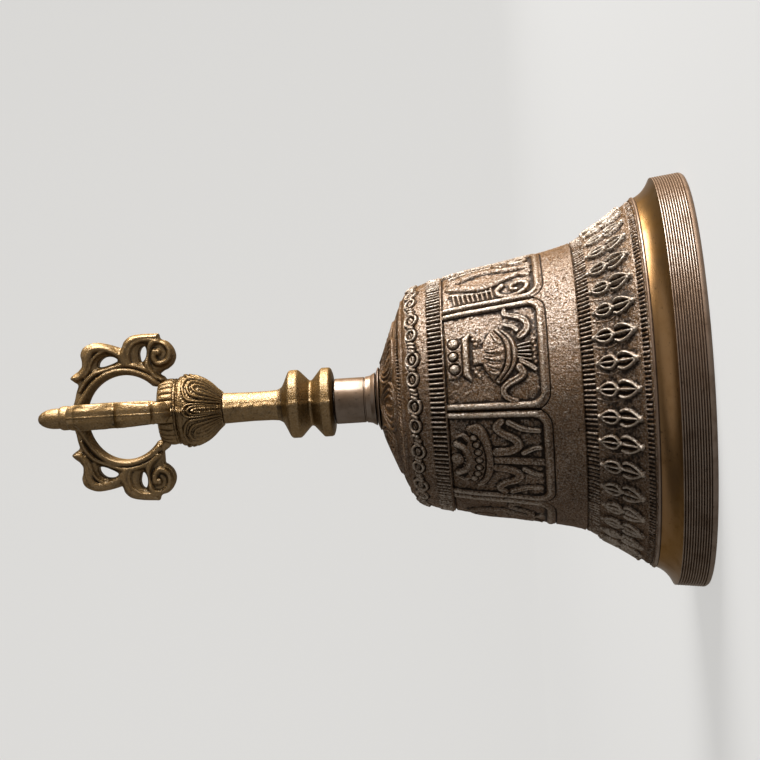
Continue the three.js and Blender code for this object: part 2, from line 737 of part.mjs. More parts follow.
const parts = new THREE.Group();
parts.add(named("bell_body", bellBody(), bronze));
parts.add(named("crown_collar", crownCollar(), paleMetal));
parts.add(named("ferrule", ferrule(), paleMetal));
parts.add(named("handle_stem", handleStem(), brass));
parts.add(named("lotus_base", lotusBase(), brass));
for (let i = 0; i < prongCount; i++) {
  const angle = (i * 2 * Math.PI) / prongCount;
  const shape = i === bentProng ? prong(angle, bentProngLean, bentProngBulge) : prong(angle);
  parts.add(named(`prong_${i + 1}`, shape, brass));
}
parts.add(named("centre_prong", centreProng(), brass));
parts.add(named("eye_bolt", eyeBolt(), darkIron));
parts.add(named("crown_washer", crownWasher(), darkIron));
parts.add(named("lock_nut", lockNut(), darkIron));
parts.add(named("clapper_link", clapperLink(), darkIron));
parts.add(named("clapper_rod", clapperRod(), darkIron));
parts.add(named("clapper_bob", clapperBob(), brass));

export default parts;
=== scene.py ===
"""A cast hand bell under a brass prong handle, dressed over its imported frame.

It is laid out as an add-on and run as a script. The sizes are in millimetres until a mesh is made,
angles round the axis start at the side that faces the camera and grow towards -X. The relief is
drawn on flat sheets of wall, stroke by stroke as a chaser works, and then wrapped on the bell.
"""

import math

import bpy
import numpy as np
from bpy.props import FloatProperty, FloatVectorProperty, PointerProperty
from mathutils import Matrix, Vector


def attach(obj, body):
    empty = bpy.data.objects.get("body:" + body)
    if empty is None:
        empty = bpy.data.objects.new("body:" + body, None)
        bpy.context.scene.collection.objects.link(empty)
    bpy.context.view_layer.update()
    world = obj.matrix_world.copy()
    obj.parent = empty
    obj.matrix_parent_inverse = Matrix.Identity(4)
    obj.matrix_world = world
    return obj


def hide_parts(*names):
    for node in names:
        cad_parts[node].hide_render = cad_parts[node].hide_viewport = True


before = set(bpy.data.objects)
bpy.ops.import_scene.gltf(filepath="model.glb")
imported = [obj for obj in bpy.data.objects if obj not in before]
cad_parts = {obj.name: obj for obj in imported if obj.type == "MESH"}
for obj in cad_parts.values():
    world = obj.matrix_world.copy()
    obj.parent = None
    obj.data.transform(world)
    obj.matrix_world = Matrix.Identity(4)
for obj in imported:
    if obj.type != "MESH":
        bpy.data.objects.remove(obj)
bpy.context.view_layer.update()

bl_info = {
    "name": "Ritual hand bell",
    "version": (1, 0, 0),
    "blender": (4, 5, 0),
    "location": "3D View > Sidebar > Hand Bell",
    "description": "Builds the cast wall, the prong handle and the clapper of a ritual hand bell",
    "category": "Add Mesh",
}

MM = 0.001

# Levels of the bell's bands over the mouth
LIP_TOP = 1.2
RIM_TOP = 7.0
COVE_TOP = 11.6
FENCE_TOP = 25.4
PANEL_FOOT = 31.6
PANEL_TOP = 53.4
BARS_TOP = 56.8
SHOULDER_TOP = 62.6
CROWN_TOP = 68.0

# The outside of the wall, as (height, radius) where it changes its sweep
WALL_LINE = [
    (11.6, 39.9), (16.0, 36.6), (20.5, 33.8), (25.4, 31.3), (31.6, 29.7), (42.0, 27.7),
    (48.0, 26.7), (53.4, 25.5), (56.6, 24.8), (60.5, 23.2), (62.5, 20.8), (65.5, 13.8), (68.0, 7.3),
]
# The inside of the wall, from the mouth up to the flat under the crown
INNER_LINE = [
    (0.0, 40.6), (5.0, 39.4), (11.6, 37.3), (18.0, 32.4), (25.4, 28.7), (31.6, 27.1),
    (43.0, 24.7), (56.6, 22.0), (60.8, 18.6), (63.2, 13.6), (64.4, 7.3),
]
CORE_SINK = 1.0
SKIN_DEPTH = 1.3
BOLT_HOLE = 2.7

# Where one panel ends and the next starts; the two that face the camera were cast a little wider
FRONT_PANEL = (-41.5, 7.7)
SECOND_PANEL_END = 54.6
PANEL_COUNT = 8
BAR_COUNT = 152
VAJRA_COUNT = 39
CHAIN_COUNT = 15
UPPER_HATCH_COUNT = 202
LOWER_HATCH_COUNT = 250
ROPE_COUNT = 150
CROWN_PETAL_COUNT = 8
RIM_GROOVE_COUNT = 11
LOTUS_BEAD_COUNT = 26


# Curves and sheets

def smooth_line(points, steps=6, closed=False):
    """A curve through given points, as an array of points."""
    points = np.array(points, float)
    if closed:
        padded = np.vstack([points[-1:], points, points[:2]])
    else:
        first = 2 * points[0] - points[1]
        last = 2 * points[-1] - points[-2]
        padded = np.vstack([first, points, last])
    share = (np.arange(steps) / steps)[:, None]
    pieces = []
    for before, start, end, after in zip(padded, padded[1:], padded[2:], padded[3:]):
        slope_in = (end - before) / 2
        slope_out = (after - start) / 2
        turn = 3 * (end - start) - 2 * slope_in - slope_out
        settle = 2 * (start - end) + slope_in + slope_out
        pieces.append(start + slope_in * share + turn * share**2 + settle * share**3)
    pieces.append(padded[-2:-1])
    return np.vstack(pieces)


def profile_at(line, heights):
    """Radius of a wall line at the heights, on a smooth curve through its points."""
    dense = smooth_line(line, 12)
    return np.interp(heights, dense[:, 0], dense[:, 1])


def mirrored(points):
    return [(-across, up) for across, up in points]


def shifted(points, across, up=0.0):
    return [(x + across, y + up) for x, y in points]


def arc(centre, radius, start, end, steps=16):
    """Points of an arc; the angles are in degrees from the right, turning left."""
    angles = np.radians(np.linspace(start, end, steps))
    return np.column_stack([centre[0] + radius * np.cos(angles), centre[1] + radius * np.sin(angles)])


def spread(values, cells, wrap):
    """Mean of a sheet of values over a square of cells, run twice for a soft edge."""
    for _ in range(2):
        for axis in (0, 1):
            mode = "wrap" if wrap and axis == 1 else "edge"
            widths = [(0, 0), (0, 0)]
            widths[axis] = (cells, cells)
            padded = np.pad(values, widths, mode=mode)
            total = np.cumsum(padded, axis=axis)
            zero = np.zeros_like(np.take(total, [0], axis=axis))
            total = np.concatenate([zero, total], axis=axis)
            count = 2 * cells + 1
            size = values.shape[axis]
            high = np.take(total, np.arange(count, count + size), axis=axis)
            low = np.take(total, np.arange(size), axis=axis)
            values = (high - low) / count
    return values


class Sheet:
    """A flat sheet of wall on which relief is drawn; heights are millimetres over the plain wall."""

    def __init__(self, across, up, ground=0.0, wrap=False):
        self.across = across
        self.up = up
        self.ground = ground
        self.wrap = wrap
        self.height = np.full((len(up), len(across)), float(ground))

    def window(self, points, reach):
        low = np.min(points, axis=0) - reach
        high = np.max(points, axis=0) + reach
        rows = slice(*np.searchsorted(self.up, (low[1], high[1])))
        columns = slice(*np.searchsorted(self.across, (low[0], high[0])))
        return rows, columns

    def places(self, window):
        rows, columns = window
        return self.across[columns][None, :], self.up[rows][:, None]

    def distance(self, points, window, start_width=1.0, end_width=None):
        """Distance of each cell from a line of points, as a share of the stroke's half width there."""
        x, y = self.places(window)
        nearest = np.full((y.shape[0], x.shape[1]), np.inf)
        end_width = start_width if end_width is None else end_width
        count = len(points) - 1
        for k in range(count):
            (x0, y0), (x1, y1) = points[k], points[k + 1]
            length = (x1 - x0) ** 2 + (y1 - y0) ** 2
            if length == 0:
                continue
            along = np.clip(((x - x0) * (x1 - x0) + (y - y0) * (y1 - y0)) / length, 0, 1)
            gap = np.hypot(x - x0 - along * (x1 - x0), y - y0 - along * (y1 - y0))
            width = start_width + (end_width - start_width) * (k + along) / count
            nearest = np.minimum(nearest, gap / width)
        return nearest

    def wire(self, points, width, crest, foot=None, end_width=None, roundness=0.5):
        """A raised round-backed stroke of that half width."""
        points = np.asarray(points, float)
        window = self.window(points, max(width, end_width or 0))
        near = self.distance(points, window, width, end_width)
        foot = self.ground if foot is None else foot
        back = np.clip(1 - near**2, 0, None) ** roundness
        block = self.height[window]
        raised = foot + (crest - foot) * back
        block[:] = np.where(near < 1, np.maximum(block, raised), block)

    def cut(self, points, width, depth, end_width=None):
        """A groove along a line of points."""
        points = np.asarray(points, float)
        window = self.window(points, max(width, end_width or 0))
        near = self.distance(points, window, width, end_width)
        self.height[window] -= depth * np.clip(1 - near**2, 0, None)

    def inside(self, outline, window):
        """Distance from the outline for the cells inside it, and 0 outside."""
        x, y = self.places(window)
        within = np.zeros((y.shape[0], x.shape[1]), bool)
        for (x0, y0), (x1, y1) in zip(outline, np.roll(outline, -1, axis=0)):
            if y0 != y1:
                crossing = (y0 > y) != (y1 > y)
                within ^= crossing & (x < (x1 - x0) * (y - y0) / (y1 - y0) + x0)
        closed = np.vstack([outline, outline[:1]])
        return np.where(within, self.distance(closed, window), 0.0)

    def patch(self, outline, crest, edge=0.35, dome=0.0, foot=None):
        """A raised area with a rounded edge and, where dome is given, a swelling middle."""
        outline = np.asarray(outline, float)
        window = self.window(outline, 0.1)
        depth = self.inside(outline, window)
        foot = self.ground if foot is None else foot
        rise = np.sqrt(np.clip(1 - (1 - np.clip(depth / edge, 0, 1)) ** 2, 0, 1))
        swell = dome * np.sqrt(depth / max(depth.max(), 1e-6)) if dome else 0.0
        block = self.height[window]
        raised = foot + (crest - foot) * rise + swell
        block[:] = np.where(depth > 0, np.maximum(block, raised), block)

    def sink(self, outline, level, edge=0.3):
        """A sunk area whose floor lies at that level."""
        outline = np.asarray(outline, float)
        window = self.window(outline, 0.1)
        depth = self.inside(outline, window)
        share = np.clip(depth / edge, 0, 1)
        share = share * share * (3 - 2 * share)
        block = self.height[window]
        block[:] = block + (level - block) * share

    def ball(self, centre, radius, crest, foot=None):
        x0, y0 = centre
        self.wire([(x0 - 0.01, y0), (x0 + 0.01, y0)], radius, crest, foot)

    def sand(self, amount, grain, below, seed):
        """Cast roughness on everything that lies under a level."""
        dice = np.random.default_rng(seed)
        rough = spread(dice.standard_normal(self.height.shape), grain, self.wrap)
        rough /= rough.std()
        self.height += amount * rough * (self.height < below)

    def soften(self, cells=1):
        self.height = spread(self.height, cells, self.wrap)

    def hollow(self, cells):
        """How deep each cell lies under its surroundings, in millimetres; edges come out negative."""
        return spread(self.height, cells, self.wrap) - self.height


# Meshes

def pick_nothing():
    if bpy.context.object and bpy.context.object.mode != "OBJECT":
        bpy.ops.object.mode_set(mode="OBJECT")
    bpy.ops.object.select_all(action="DESELECT")


def pick(piece):
    pick_nothing()
    piece.select_set(True)
    bpy.context.view_layer.objects.active = piece


def new_piece(name, points, faces=(), edges=()):
    """An object at the origin with its place in its mesh; the points are in millimetres."""
    mesh = bpy.data.meshes.new(name)
    places = np.asarray(points, float) * MM
    mesh.from_pydata(places.tolist(), list(edges), list(faces))
    mesh.update()
    piece = bpy.data.objects.new(name, mesh)
    bpy.context.collection.objects.link(piece)
    pick(piece)
    return piece


def edit_all(piece):
    pick(piece)
    bpy.ops.object.mode_set(mode="EDIT")
    bpy.ops.mesh.select_all(action="SELECT")


def close_edit():
    bpy.ops.object.mode_set(mode="OBJECT")


def outward(piece):
    """Merges doubles, then turns every face outwards."""
    edit_all(piece)
    bpy.ops.mesh.remove_doubles(threshold=0.002 * MM)
    bpy.ops.mesh.normals_make_consistent(inside=False)
    close_edit()


def smooth_shade(piece, degrees=50):
    pick(piece)
    bpy.ops.object.shade_smooth_by_angle(angle=math.radians(degrees))


def apply_modifiers(piece):
    pick(piece)
    for modifier in list(piece.modifiers):
        bpy.ops.object.modifier_apply(modifier=modifier.name)


def places_of(piece):
    """The piece's points as an array in millimetres."""
    flat = np.empty(len(piece.data.vertices) * 3, np.float32)
    piece.data.vertices.foreach_get("co", flat)
    return flat.reshape(-1, 3).astype(float) / MM


def set_places(piece, places):
    piece.data.vertices.foreach_set("co", (places * MM).astype(np.float32).ravel())
    piece.data.update()


def set_hollow(piece, values):
    """Stores how deep each point lies, for the dark oxide and the painted shade in the hollows."""
    mesh = piece.data
    held = mesh.attributes.get("hollow") or mesh.attributes.new("hollow", "FLOAT", "POINT")
    held.data.foreach_set("value", np.asarray(values, np.float32))


def spun(name, profile, steps=96):
    """A turned piece: a profile of (radius, height) drawn as a chain of edges and spun round Z."""
    points = [(radius, 0.0, height) for radius, height in profile]
    edges = [(i, i + 1) for i in range(len(points) - 1)]
    piece = new_piece(name, points, edges=edges)
    edit_all(piece)
    bpy.ops.mesh.spin(
        steps=steps, angle=2 * math.pi, use_auto_merge=False, center=(0, 0, 0), axis=(0, 0, 1)
    )
    close_edit()
    outward(piece)
    return piece


def rounded(profile, radius, steps=3):
    """The profile with each inner corner cut by a small arc."""
    points = [Vector(point) for point in profile]
    made = [points[0]]
    for before, corner, after in zip(points, points[1:], points[2:]):
        reach = min(radius, (before - corner).length / 2.2, (after - corner).length / 2.2)
        if reach < 1e-4:
            made.append(corner)
            continue
        start = corner + (before - corner).normalized() * reach
        end = corner + (after - corner).normalized() * reach
        for i in range(steps + 1):
            t = i / steps
            made.append(start * (1 - t) ** 2 + corner * (2 * t * (1 - t)) + end * t**2)
    made.append(points[-1])
    return [tuple(point) for point in made]


def wall_rows(line, foot, top, rows):
    """Radius, height, outward slope and length along the wall, at rows spaced evenly along it."""
    heights = np.linspace(foot, top, 600)
    radii = profile_at(line, heights)
    lengths = np.concatenate([[0], np.cumsum(np.hypot(np.diff(radii), np.diff(heights)))])
    even = np.linspace(0, lengths[-1], rows)
    radius = np.interp(even, lengths, radii)
    height = np.interp(even, lengths, heights)
    lean_r = np.gradient(height, even)
    lean_z = -np.gradient(radius, even)
    scale = np.hypot(lean_r, lean_z)
    return radius, height, lean_r / scale, lean_z / scale, even


def skin(name, rows, degrees, relief, hollow, closed):
    """A slab of wall: its outer side carries the relief, its inner side lies inside the core."""
    radius, height, lean_r, lean_z, _ = rows
    angles = np.radians(degrees)[None, :]
    out_r = radius[:, None] + relief * lean_r[:, None]
    out_z = height[:, None] + relief * lean_z[:, None]
    outer = np.stack([-np.sin(angles) * out_r, -np.cos(angles) * out_r, out_z + 0 * angles], -1)
    ends = []
    for row in (0, -1):
        in_r = radius[row] - SKIN_DEPTH * lean_r[row] + 0 * angles[0]
        in_z = height[row] - SKIN_DEPTH * lean_z[row] + 0 * angles[0]
        ends.append(np.stack([-np.sin(angles[0]) * in_r, -np.cos(angles[0]) * in_r, in_z], -1))
    row_count, column_count = relief.shape
    points = np.vstack([outer.reshape(-1, 3), ends[0], ends[1]])
    index = np.arange(row_count * column_count).reshape(row_count, column_count)
    foot = row_count * column_count + np.arange(column_count)
    head = foot + column_count
    lines = [foot, *index, head, foot]
    faces = []
    for low, high in zip(lines, lines[1:]):
        after_low = np.roll(low, -1)
        after_high = np.roll(high, -1)
        quads = np.column_stack([low, high, after_high, after_low])
        faces.extend((quads if closed else quads[:-1]).tolist())
    if not closed:
        faces.append([foot[0], head[0], *index[::-1, 0].tolist()])
        faces.append([foot[-1], *index[:, -1].tolist(), head[-1]])
    piece = new_piece(name, points, faces)
    sharpen_border(piece, index, closed)
    depth = np.concatenate([hollow.ravel(), np.zeros(2 * column_count)])
    set_hollow(piece, depth)
    return piece


def sharpen_border(piece, index, closed):
    """Smooth shading all over, but not across the border of the relief."""
    mesh = piece.data
    rank = np.zeros(len(mesh.vertices), bool)
    rank[index[0]] = True
    rank[index[-1]] = True
    if not closed:
        rank[index[:, 0]] = True
        rank[index[:, -1]] = True
    ends = np.empty(len(mesh.edges) * 2, np.int32)
    mesh.edges.foreach_get("vertices", ends)
    ends = ends.reshape(-1, 2)
    sharp = rank[ends[:, 0]] & rank[ends[:, 1]]
    mesh.polygons.foreach_set("use_smooth", np.ones(len(mesh.polygons), bool))
    mesh.edges.foreach_set("use_edge_sharp", sharp)
    mesh.update()


def finish_piece(piece, body, material, replaced=()):
    """Gives a piece its finish, its body and what it stands for."""
    piece.data.materials.clear()
    piece.data.materials.append(material)
    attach(piece, body)
    if replaced:
        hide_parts(*replaced)
    return piece


# Finishes

# The bare metal that glints, the dull tone at grazing angles, and how fine the cast surface is
BARE_METAL = (1.0, 0.94, 0.86)
BARE_BRASS = (1.0, 0.91, 0.72)
DULL_EDGE = (0.5, 0.45, 0.4)
SPECULAR_LEVEL = 0.2
BUMP_STRENGTH = 0.8
CAST_GLINT_ROUGHNESS = 0.32
TURNED_GLINT_ROUGHNESS = 0.27
CLOUD_SCALE = 90.0
STAIN_SCALE = 420.0
GRAIN_SCALE = 2900.0
SPECK_SCALE = 1900.0
SAND_DEPTH = 0.00024
FINE_DEPTH = 0.00002


class Value:
    """A number that varies over the surface; sums on it add Math nodes."""

    def __init__(self, paint, socket):
        self.paint = paint
        self.socket = socket

    def _sum(self, operation, first, second):
        return self.paint.node("ShaderNodeMath", {"operation": operation}, {0: first, 1: second})

    def __add__(self, other):
        return self._sum("ADD", self, other)

    def __radd__(self, other):
        return self._sum("ADD", other, self)

    def __sub__(self, other):
        return self._sum("SUBTRACT", self, other)

    def __rsub__(self, other):
        return self._sum("SUBTRACT", other, self)

    def __mul__(self, other):
        return self._sum("MULTIPLY", self, other)

    def __rmul__(self, other):
        return self._sum("MULTIPLY", other, self)

    def __pow__(self, other):
        return self._sum("POWER", self, other)

    def __neg__(self):
        return self._sum("MULTIPLY", self, -1.0)


class Paint:
    """A procedural finish under construction."""

    def __init__(self, name):
        self.material = bpy.data.materials.new(name)
        self.material.use_nodes = True
        self.tree = self.material.node_tree
        self.shader = self.tree.nodes["Principled BSDF"]
        self.place = self.node("ShaderNodeTexCoord", output="Object")

    def feed(self, socket, value):
        if isinstance(value, Value):
            self.tree.links.new(value.socket, socket)
        elif isinstance(value, (tuple, list)) and len(value) == 3 and socket.type == "RGBA":
            socket.default_value = (*value, 1.0)
        else:
            socket.default_value = value

    def node(self, kind, settings=None, values=None, output=0):
        """Any node: its settings are set first, then its sockets; returns the output named."""
        made = self.tree.nodes.new(kind)
        for setting, value in (settings or {}).items():
            setattr(made, setting, value)
        for name, value in (values or {}).items():
            self.feed(made.inputs[name], value)
        return Value(self, made.outputs[output])

    def noise(self, scale, detail=3.0, roughness=0.55, place=None):
        values = {"Vector": place or self.place, "Scale": scale, "Detail": detail, "Roughness": roughness}
        return self.node("ShaderNodeTexNoise", None, values, "Fac")

    def mask(self, value, low, high):
        """0 under low and 1 over high, with a smooth step between."""
        values = {"Value": value, "From Min": low, "From Max": high}
        return self.node("ShaderNodeMapRange", {"interpolation_type": "SMOOTHSTEP"}, values, "Result")

    def mix(self, share, first, second):
        """A colour between two colours."""
        return self.node("ShaderNodeMix", {"data_type": "RGBA"}, {0: share, 6: first, 7: second}, 2)

    def attribute(self, name):
        return self.node("ShaderNodeAttribute", {"attribute_name": name}, None, "Fac")

    def axes(self):
        """The object coordinates, one by one."""
        split = self.tree.nodes.new("ShaderNodeSeparateXYZ")
        self.feed(split.inputs[0], self.place)
        return [Value(self, output) for output in split.outputs]

    def round_place(self, around, along):
        """A place that changes with the height and the distance from the axis, and less round it."""
        x, y, z = self.axes()
        distance = (x * x + y * y) ** 0.5
        joined = {0: x * around, 1: y * around, 2: (z + distance) * along}
        return self.node("ShaderNodeCombineXYZ", None, joined)

    def bump(self, height, distance):
        values = {"Height": height, "Distance": distance, "Strength": BUMP_STRENGTH}
        return self.node("ShaderNodeBump", None, values)

    def finish(self, colour, metallic, roughness, normal=None, glint=None, glint_roughness=0.3,
               bare_tone=BARE_METAL):
        """The toned surface, and over it a share of bare and smoother metal that catches the lamps."""
        shaders = [(self.shader, colour, metallic, roughness)]
        if glint is not None:
            bare = self.tree.nodes.new("ShaderNodeBsdfPrincipled")
            blend = self.tree.nodes.new("ShaderNodeMixShader")
            shaders.append((bare, bare_tone, 1.0, glint_roughness))
            self.feed(blend.inputs["Fac"], glint)
            self.tree.links.new(self.shader.outputs[0], blend.inputs[1])
            self.tree.links.new(bare.outputs[0], blend.inputs[2])
            surface = self.tree.nodes["Material Output"].inputs["Surface"]
            self.tree.links.new(blend.outputs[0], surface)
            self.feed(self.shader.inputs["Specular Tint"], DULL_EDGE)
        for shader, tone, metal, rough in shaders:
            self.feed(shader.inputs["Base Color"], tone)
            self.feed(shader.inputs["Metallic"], metal)
            self.feed(shader.inputs["Roughness"], rough)
            shader.inputs["Specular IOR Level"].default_value = SPECULAR_LEVEL
            if normal:
                self.feed(shader.inputs["Normal"], normal)
        return self.material


def tint(colour, share):
    return tuple(part * share for part in colour)


def cast_finish(name, body, dark, edge, sandy, rough, glint, depth=0.17, bare_tone=BARE_METAL):
    """Cast and chased metal: dark oxide and painted shade in the hollows, rubbed edges and a sandy ground."""
    paint = Paint(name)
    hollow = paint.attribute("hollow")
    cloud = paint.noise(CLOUD_SCALE, 4.0, 0.6)
    stain = paint.noise(STAIN_SCALE, 4.0, 0.6)
    grain = paint.noise(GRAIN_SCALE, 2.0, 0.65)
    speck = paint.noise(SPECK_SCALE, 2.0, 0.6)
    tone = paint.mix(paint.mask(cloud, 0.35, 0.68), tint(body, 0.8), tint(body, 1.12))
    tone = paint.mix(paint.mask(stain, 0.52, 0.72) * 0.55, tone, tint(body, 0.4))
    pits = paint.mask(speck, 0.56, 0.66) * sandy
    # The hollows take the dark tone: partly real oxide, partly painted shade in the deep grooves
    oxide_and_painted_shade = paint.mask(hollow + (stain - 0.5) * 0.14, 0.045, depth)
    worn = paint.mask(-hollow + (grain - 0.5) * 0.25, 0.08, 0.34)
    tone = paint.mix(pits * 0.6, tone, dark)
    tone = paint.mix(oxide_and_painted_shade * 0.92, tone, dark)
    tone = paint.mix(worn * 0.4, tone, edge)
    # Painted shade and oxide in the hollows, and the sand pits, take away most of the glint there
    clean_and_unshaded = (1.0 - 0.92 * oxide_and_painted_shade) * (1.0 - 0.75 * pits)
    sparkle = 1.0 - sandy * 0.55 + sandy * 1.2 * paint.mask(grain, 0.45, 0.62)
    patchy = 0.8 + 0.4 * paint.mask(cloud, 0.3, 0.7)
    shine = clean_and_unshaded * (glint * sparkle * patchy + worn * glint * 1.1)
    surface = grain * 0.9 + speck * 0.8 - pits * 0.6
    normal = paint.bump(surface, SAND_DEPTH * sandy + FINE_DEPTH)
    return paint.finish(
        tone, 1.0 - 0.5 * oxide_and_painted_shade, rough + 0.1 * oxide_and_painted_shade, normal, shine, CAST_GLINT_ROUGHNESS, bare_tone
    )


def turned_finish(name, body, streak, rough, glint, lines=9000.0, depth=0.00001):
    """Turned metal: fine rings from the tool, with small stains."""
    paint = Paint(name)
    rings = paint.noise(1.0, 2.0, 0.6, paint.round_place(25.0, lines))
    stain = paint.noise(240.0, 4.0, 0.65)
    speck = paint.noise(1300.0, 2.0, 0.6)
    spots = paint.mask(speck, 0.64, 0.74)
    tone = paint.mix(paint.mask(rings, 0.3, 0.7) * 0.5, body, streak)
    tone = paint.mix(paint.mask(stain, 0.5, 0.75) * 0.5, tone, tint(body, 0.55))
    tone = paint.mix(spots * 0.7, tone, tint(body, 0.22))
    shine = glint * (1.25 - 0.8 * paint.mask(stain, 0.4, 0.75)) * (1.0 - 0.7 * spots)
    normal = paint.bump(rings, depth)
    dulled = rough + (stain - 0.5) * 0.2
    return paint.finish(tone, 1.0, dulled, normal, shine, TURNED_GLINT_ROUGHNESS)


def made_once(make):
    """Each finish is made once, when the first piece asks for it."""
    held = []

    def get():
        if not held:
            held.append(make())
        return held[0]

    return get


def colours():
    return bpy.context.scene.bell_finish


@made_once
def wall_bronze():
    tone = colours()
    body, dark, edge = tuple(tone.bronze), tuple(tone.patina_and_groove_shade), tuple(tone.rubbed)
    return cast_finish("bell_bronze", body, dark, edge, sandy=1.0, rough=0.68, glint=0.05)


@made_once
def rim_bronze():
    body = tuple(colours().rim)
    return turned_finish("rim_bronze", body, tint(body, 0.7), rough=0.62, glint=0.055)


@made_once
def cove_bronze():
    body = tuple(colours().cove)
    return turned_finish("cove_bronze", body, tint(body, 0.85), rough=0.34, glint=0.014, lines=5000.0)


@made_once
def inner_bronze():
    body = tint(tuple(colours().bronze), 0.6)
    streak = tint(body, 0.6)
    return turned_finish("inner_bronze", body, streak, rough=0.7, glint=0.01, lines=2500.0, depth=0.00004)


@made_once
def handle_brass():
    body, dark = tuple(colours().brass), tuple(colours().patina_and_groove_shade)
    return cast_finish(
        "handle_brass", body, dark, tint(body, 1.5), sandy=0.5, rough=0.5, glint=0.04, depth=0.16,
        bare_tone=BARE_BRASS,
    )


@made_once
def ferrule_metal():
    body = tuple(colours().ferrule)
    return turned_finish("ferrule_metal", body, tint(body, 0.8), rough=0.55, glint=0.04, lines=6000.0)


@made_once
def dark_iron():
    body = tuple(colours().iron)
    # The darker tone goes into the hollows as oxide and as painted shade
    dark, edge = tint(body, 0.3), tint(body, 1.8)
    return cast_finish("clapper_iron", body, dark, edge, sandy=0.5, rough=0.6, glint=0.02)


@made_once
def bob_brass():
    body = tint(tuple(colours().brass), 0.85)
    return turned_finish("bob_brass", body, tint(body, 0.7), rough=0.55, glint=0.02, lines=4000.0)


# Panel drawings: across from the panel's middle, up from its foot, in millimetres

GROUND = -0.45


def frame_outline(half, inset, foot, corner, top):
    """The U of a panel's frame: down the left, round the two foot corners and up the right."""
    side = half - inset
    left = arc((-side + corner, foot + corner), corner, 180, 270, 8)
    right = arc((side - corner, foot + corner), corner, 270, 360, 8)
    return np.vstack([[(-side, top)], left, right, [(side, top)]])


def draw_frame(sheet, half, top):
    """Sunk field, U-shaped frame with a rounded back, and the groove shared with the neighbour."""
    sheet.sink(frame_outline(half, 1.0, 1.5, 2.6, top + 1), GROUND, 0.25)
    sheet.wire(frame_outline(half, 0.95, 1.4, 3.0, top - 0.2), 0.66, 0.26, -0.35)
    sheet.wire([(-half + 3.4, 1.35), (half - 3.4, 1.35)], 0.88, 0.25, -0.35)
    for side in (-half, half):
        sheet.cut([(side, 2.6), (side, top - 0.3)], 0.32, 0.55)
    sheet.cut(frame_outline(half, -0.1, 0.25, 3.6, 3.0)[1:-1], 0.16, 0.34)


def draw_ribbon(sheet, points, width, end_width=None):
    """A flat ribbon with a raised rim and a shallow middle."""
    line = smooth_line(points)
    width = 0.86 * width
    end_width = 0.86 * (end_width or width)
    sheet.wire(line, width, 0.16, end_width=end_width, roundness=0.3)
    sheet.cut(line, width * 0.5, 0.2, end_width=end_width * 0.45)


def draw_side_ribbons(sheet):
    """Two ribbons that curl out from under a motif to the sides of its panel."""
    band = [(2.4, 6.3), (4.0, 5.5), (5.5, 6.8), (6.4, 8.6), (7.4, 9.9), (8.8, 9.7), (9.7, 8.0)]
    tail = [(1.8, 5.6), (3.0, 4.3), (4.4, 3.3)]
    for side in (band, mirrored(band)):
        draw_ribbon(sheet, side, 0.85, 0.6)
    for side in (tail, mirrored(tail)):
        draw_ribbon(sheet, side, 0.6, 0.45)


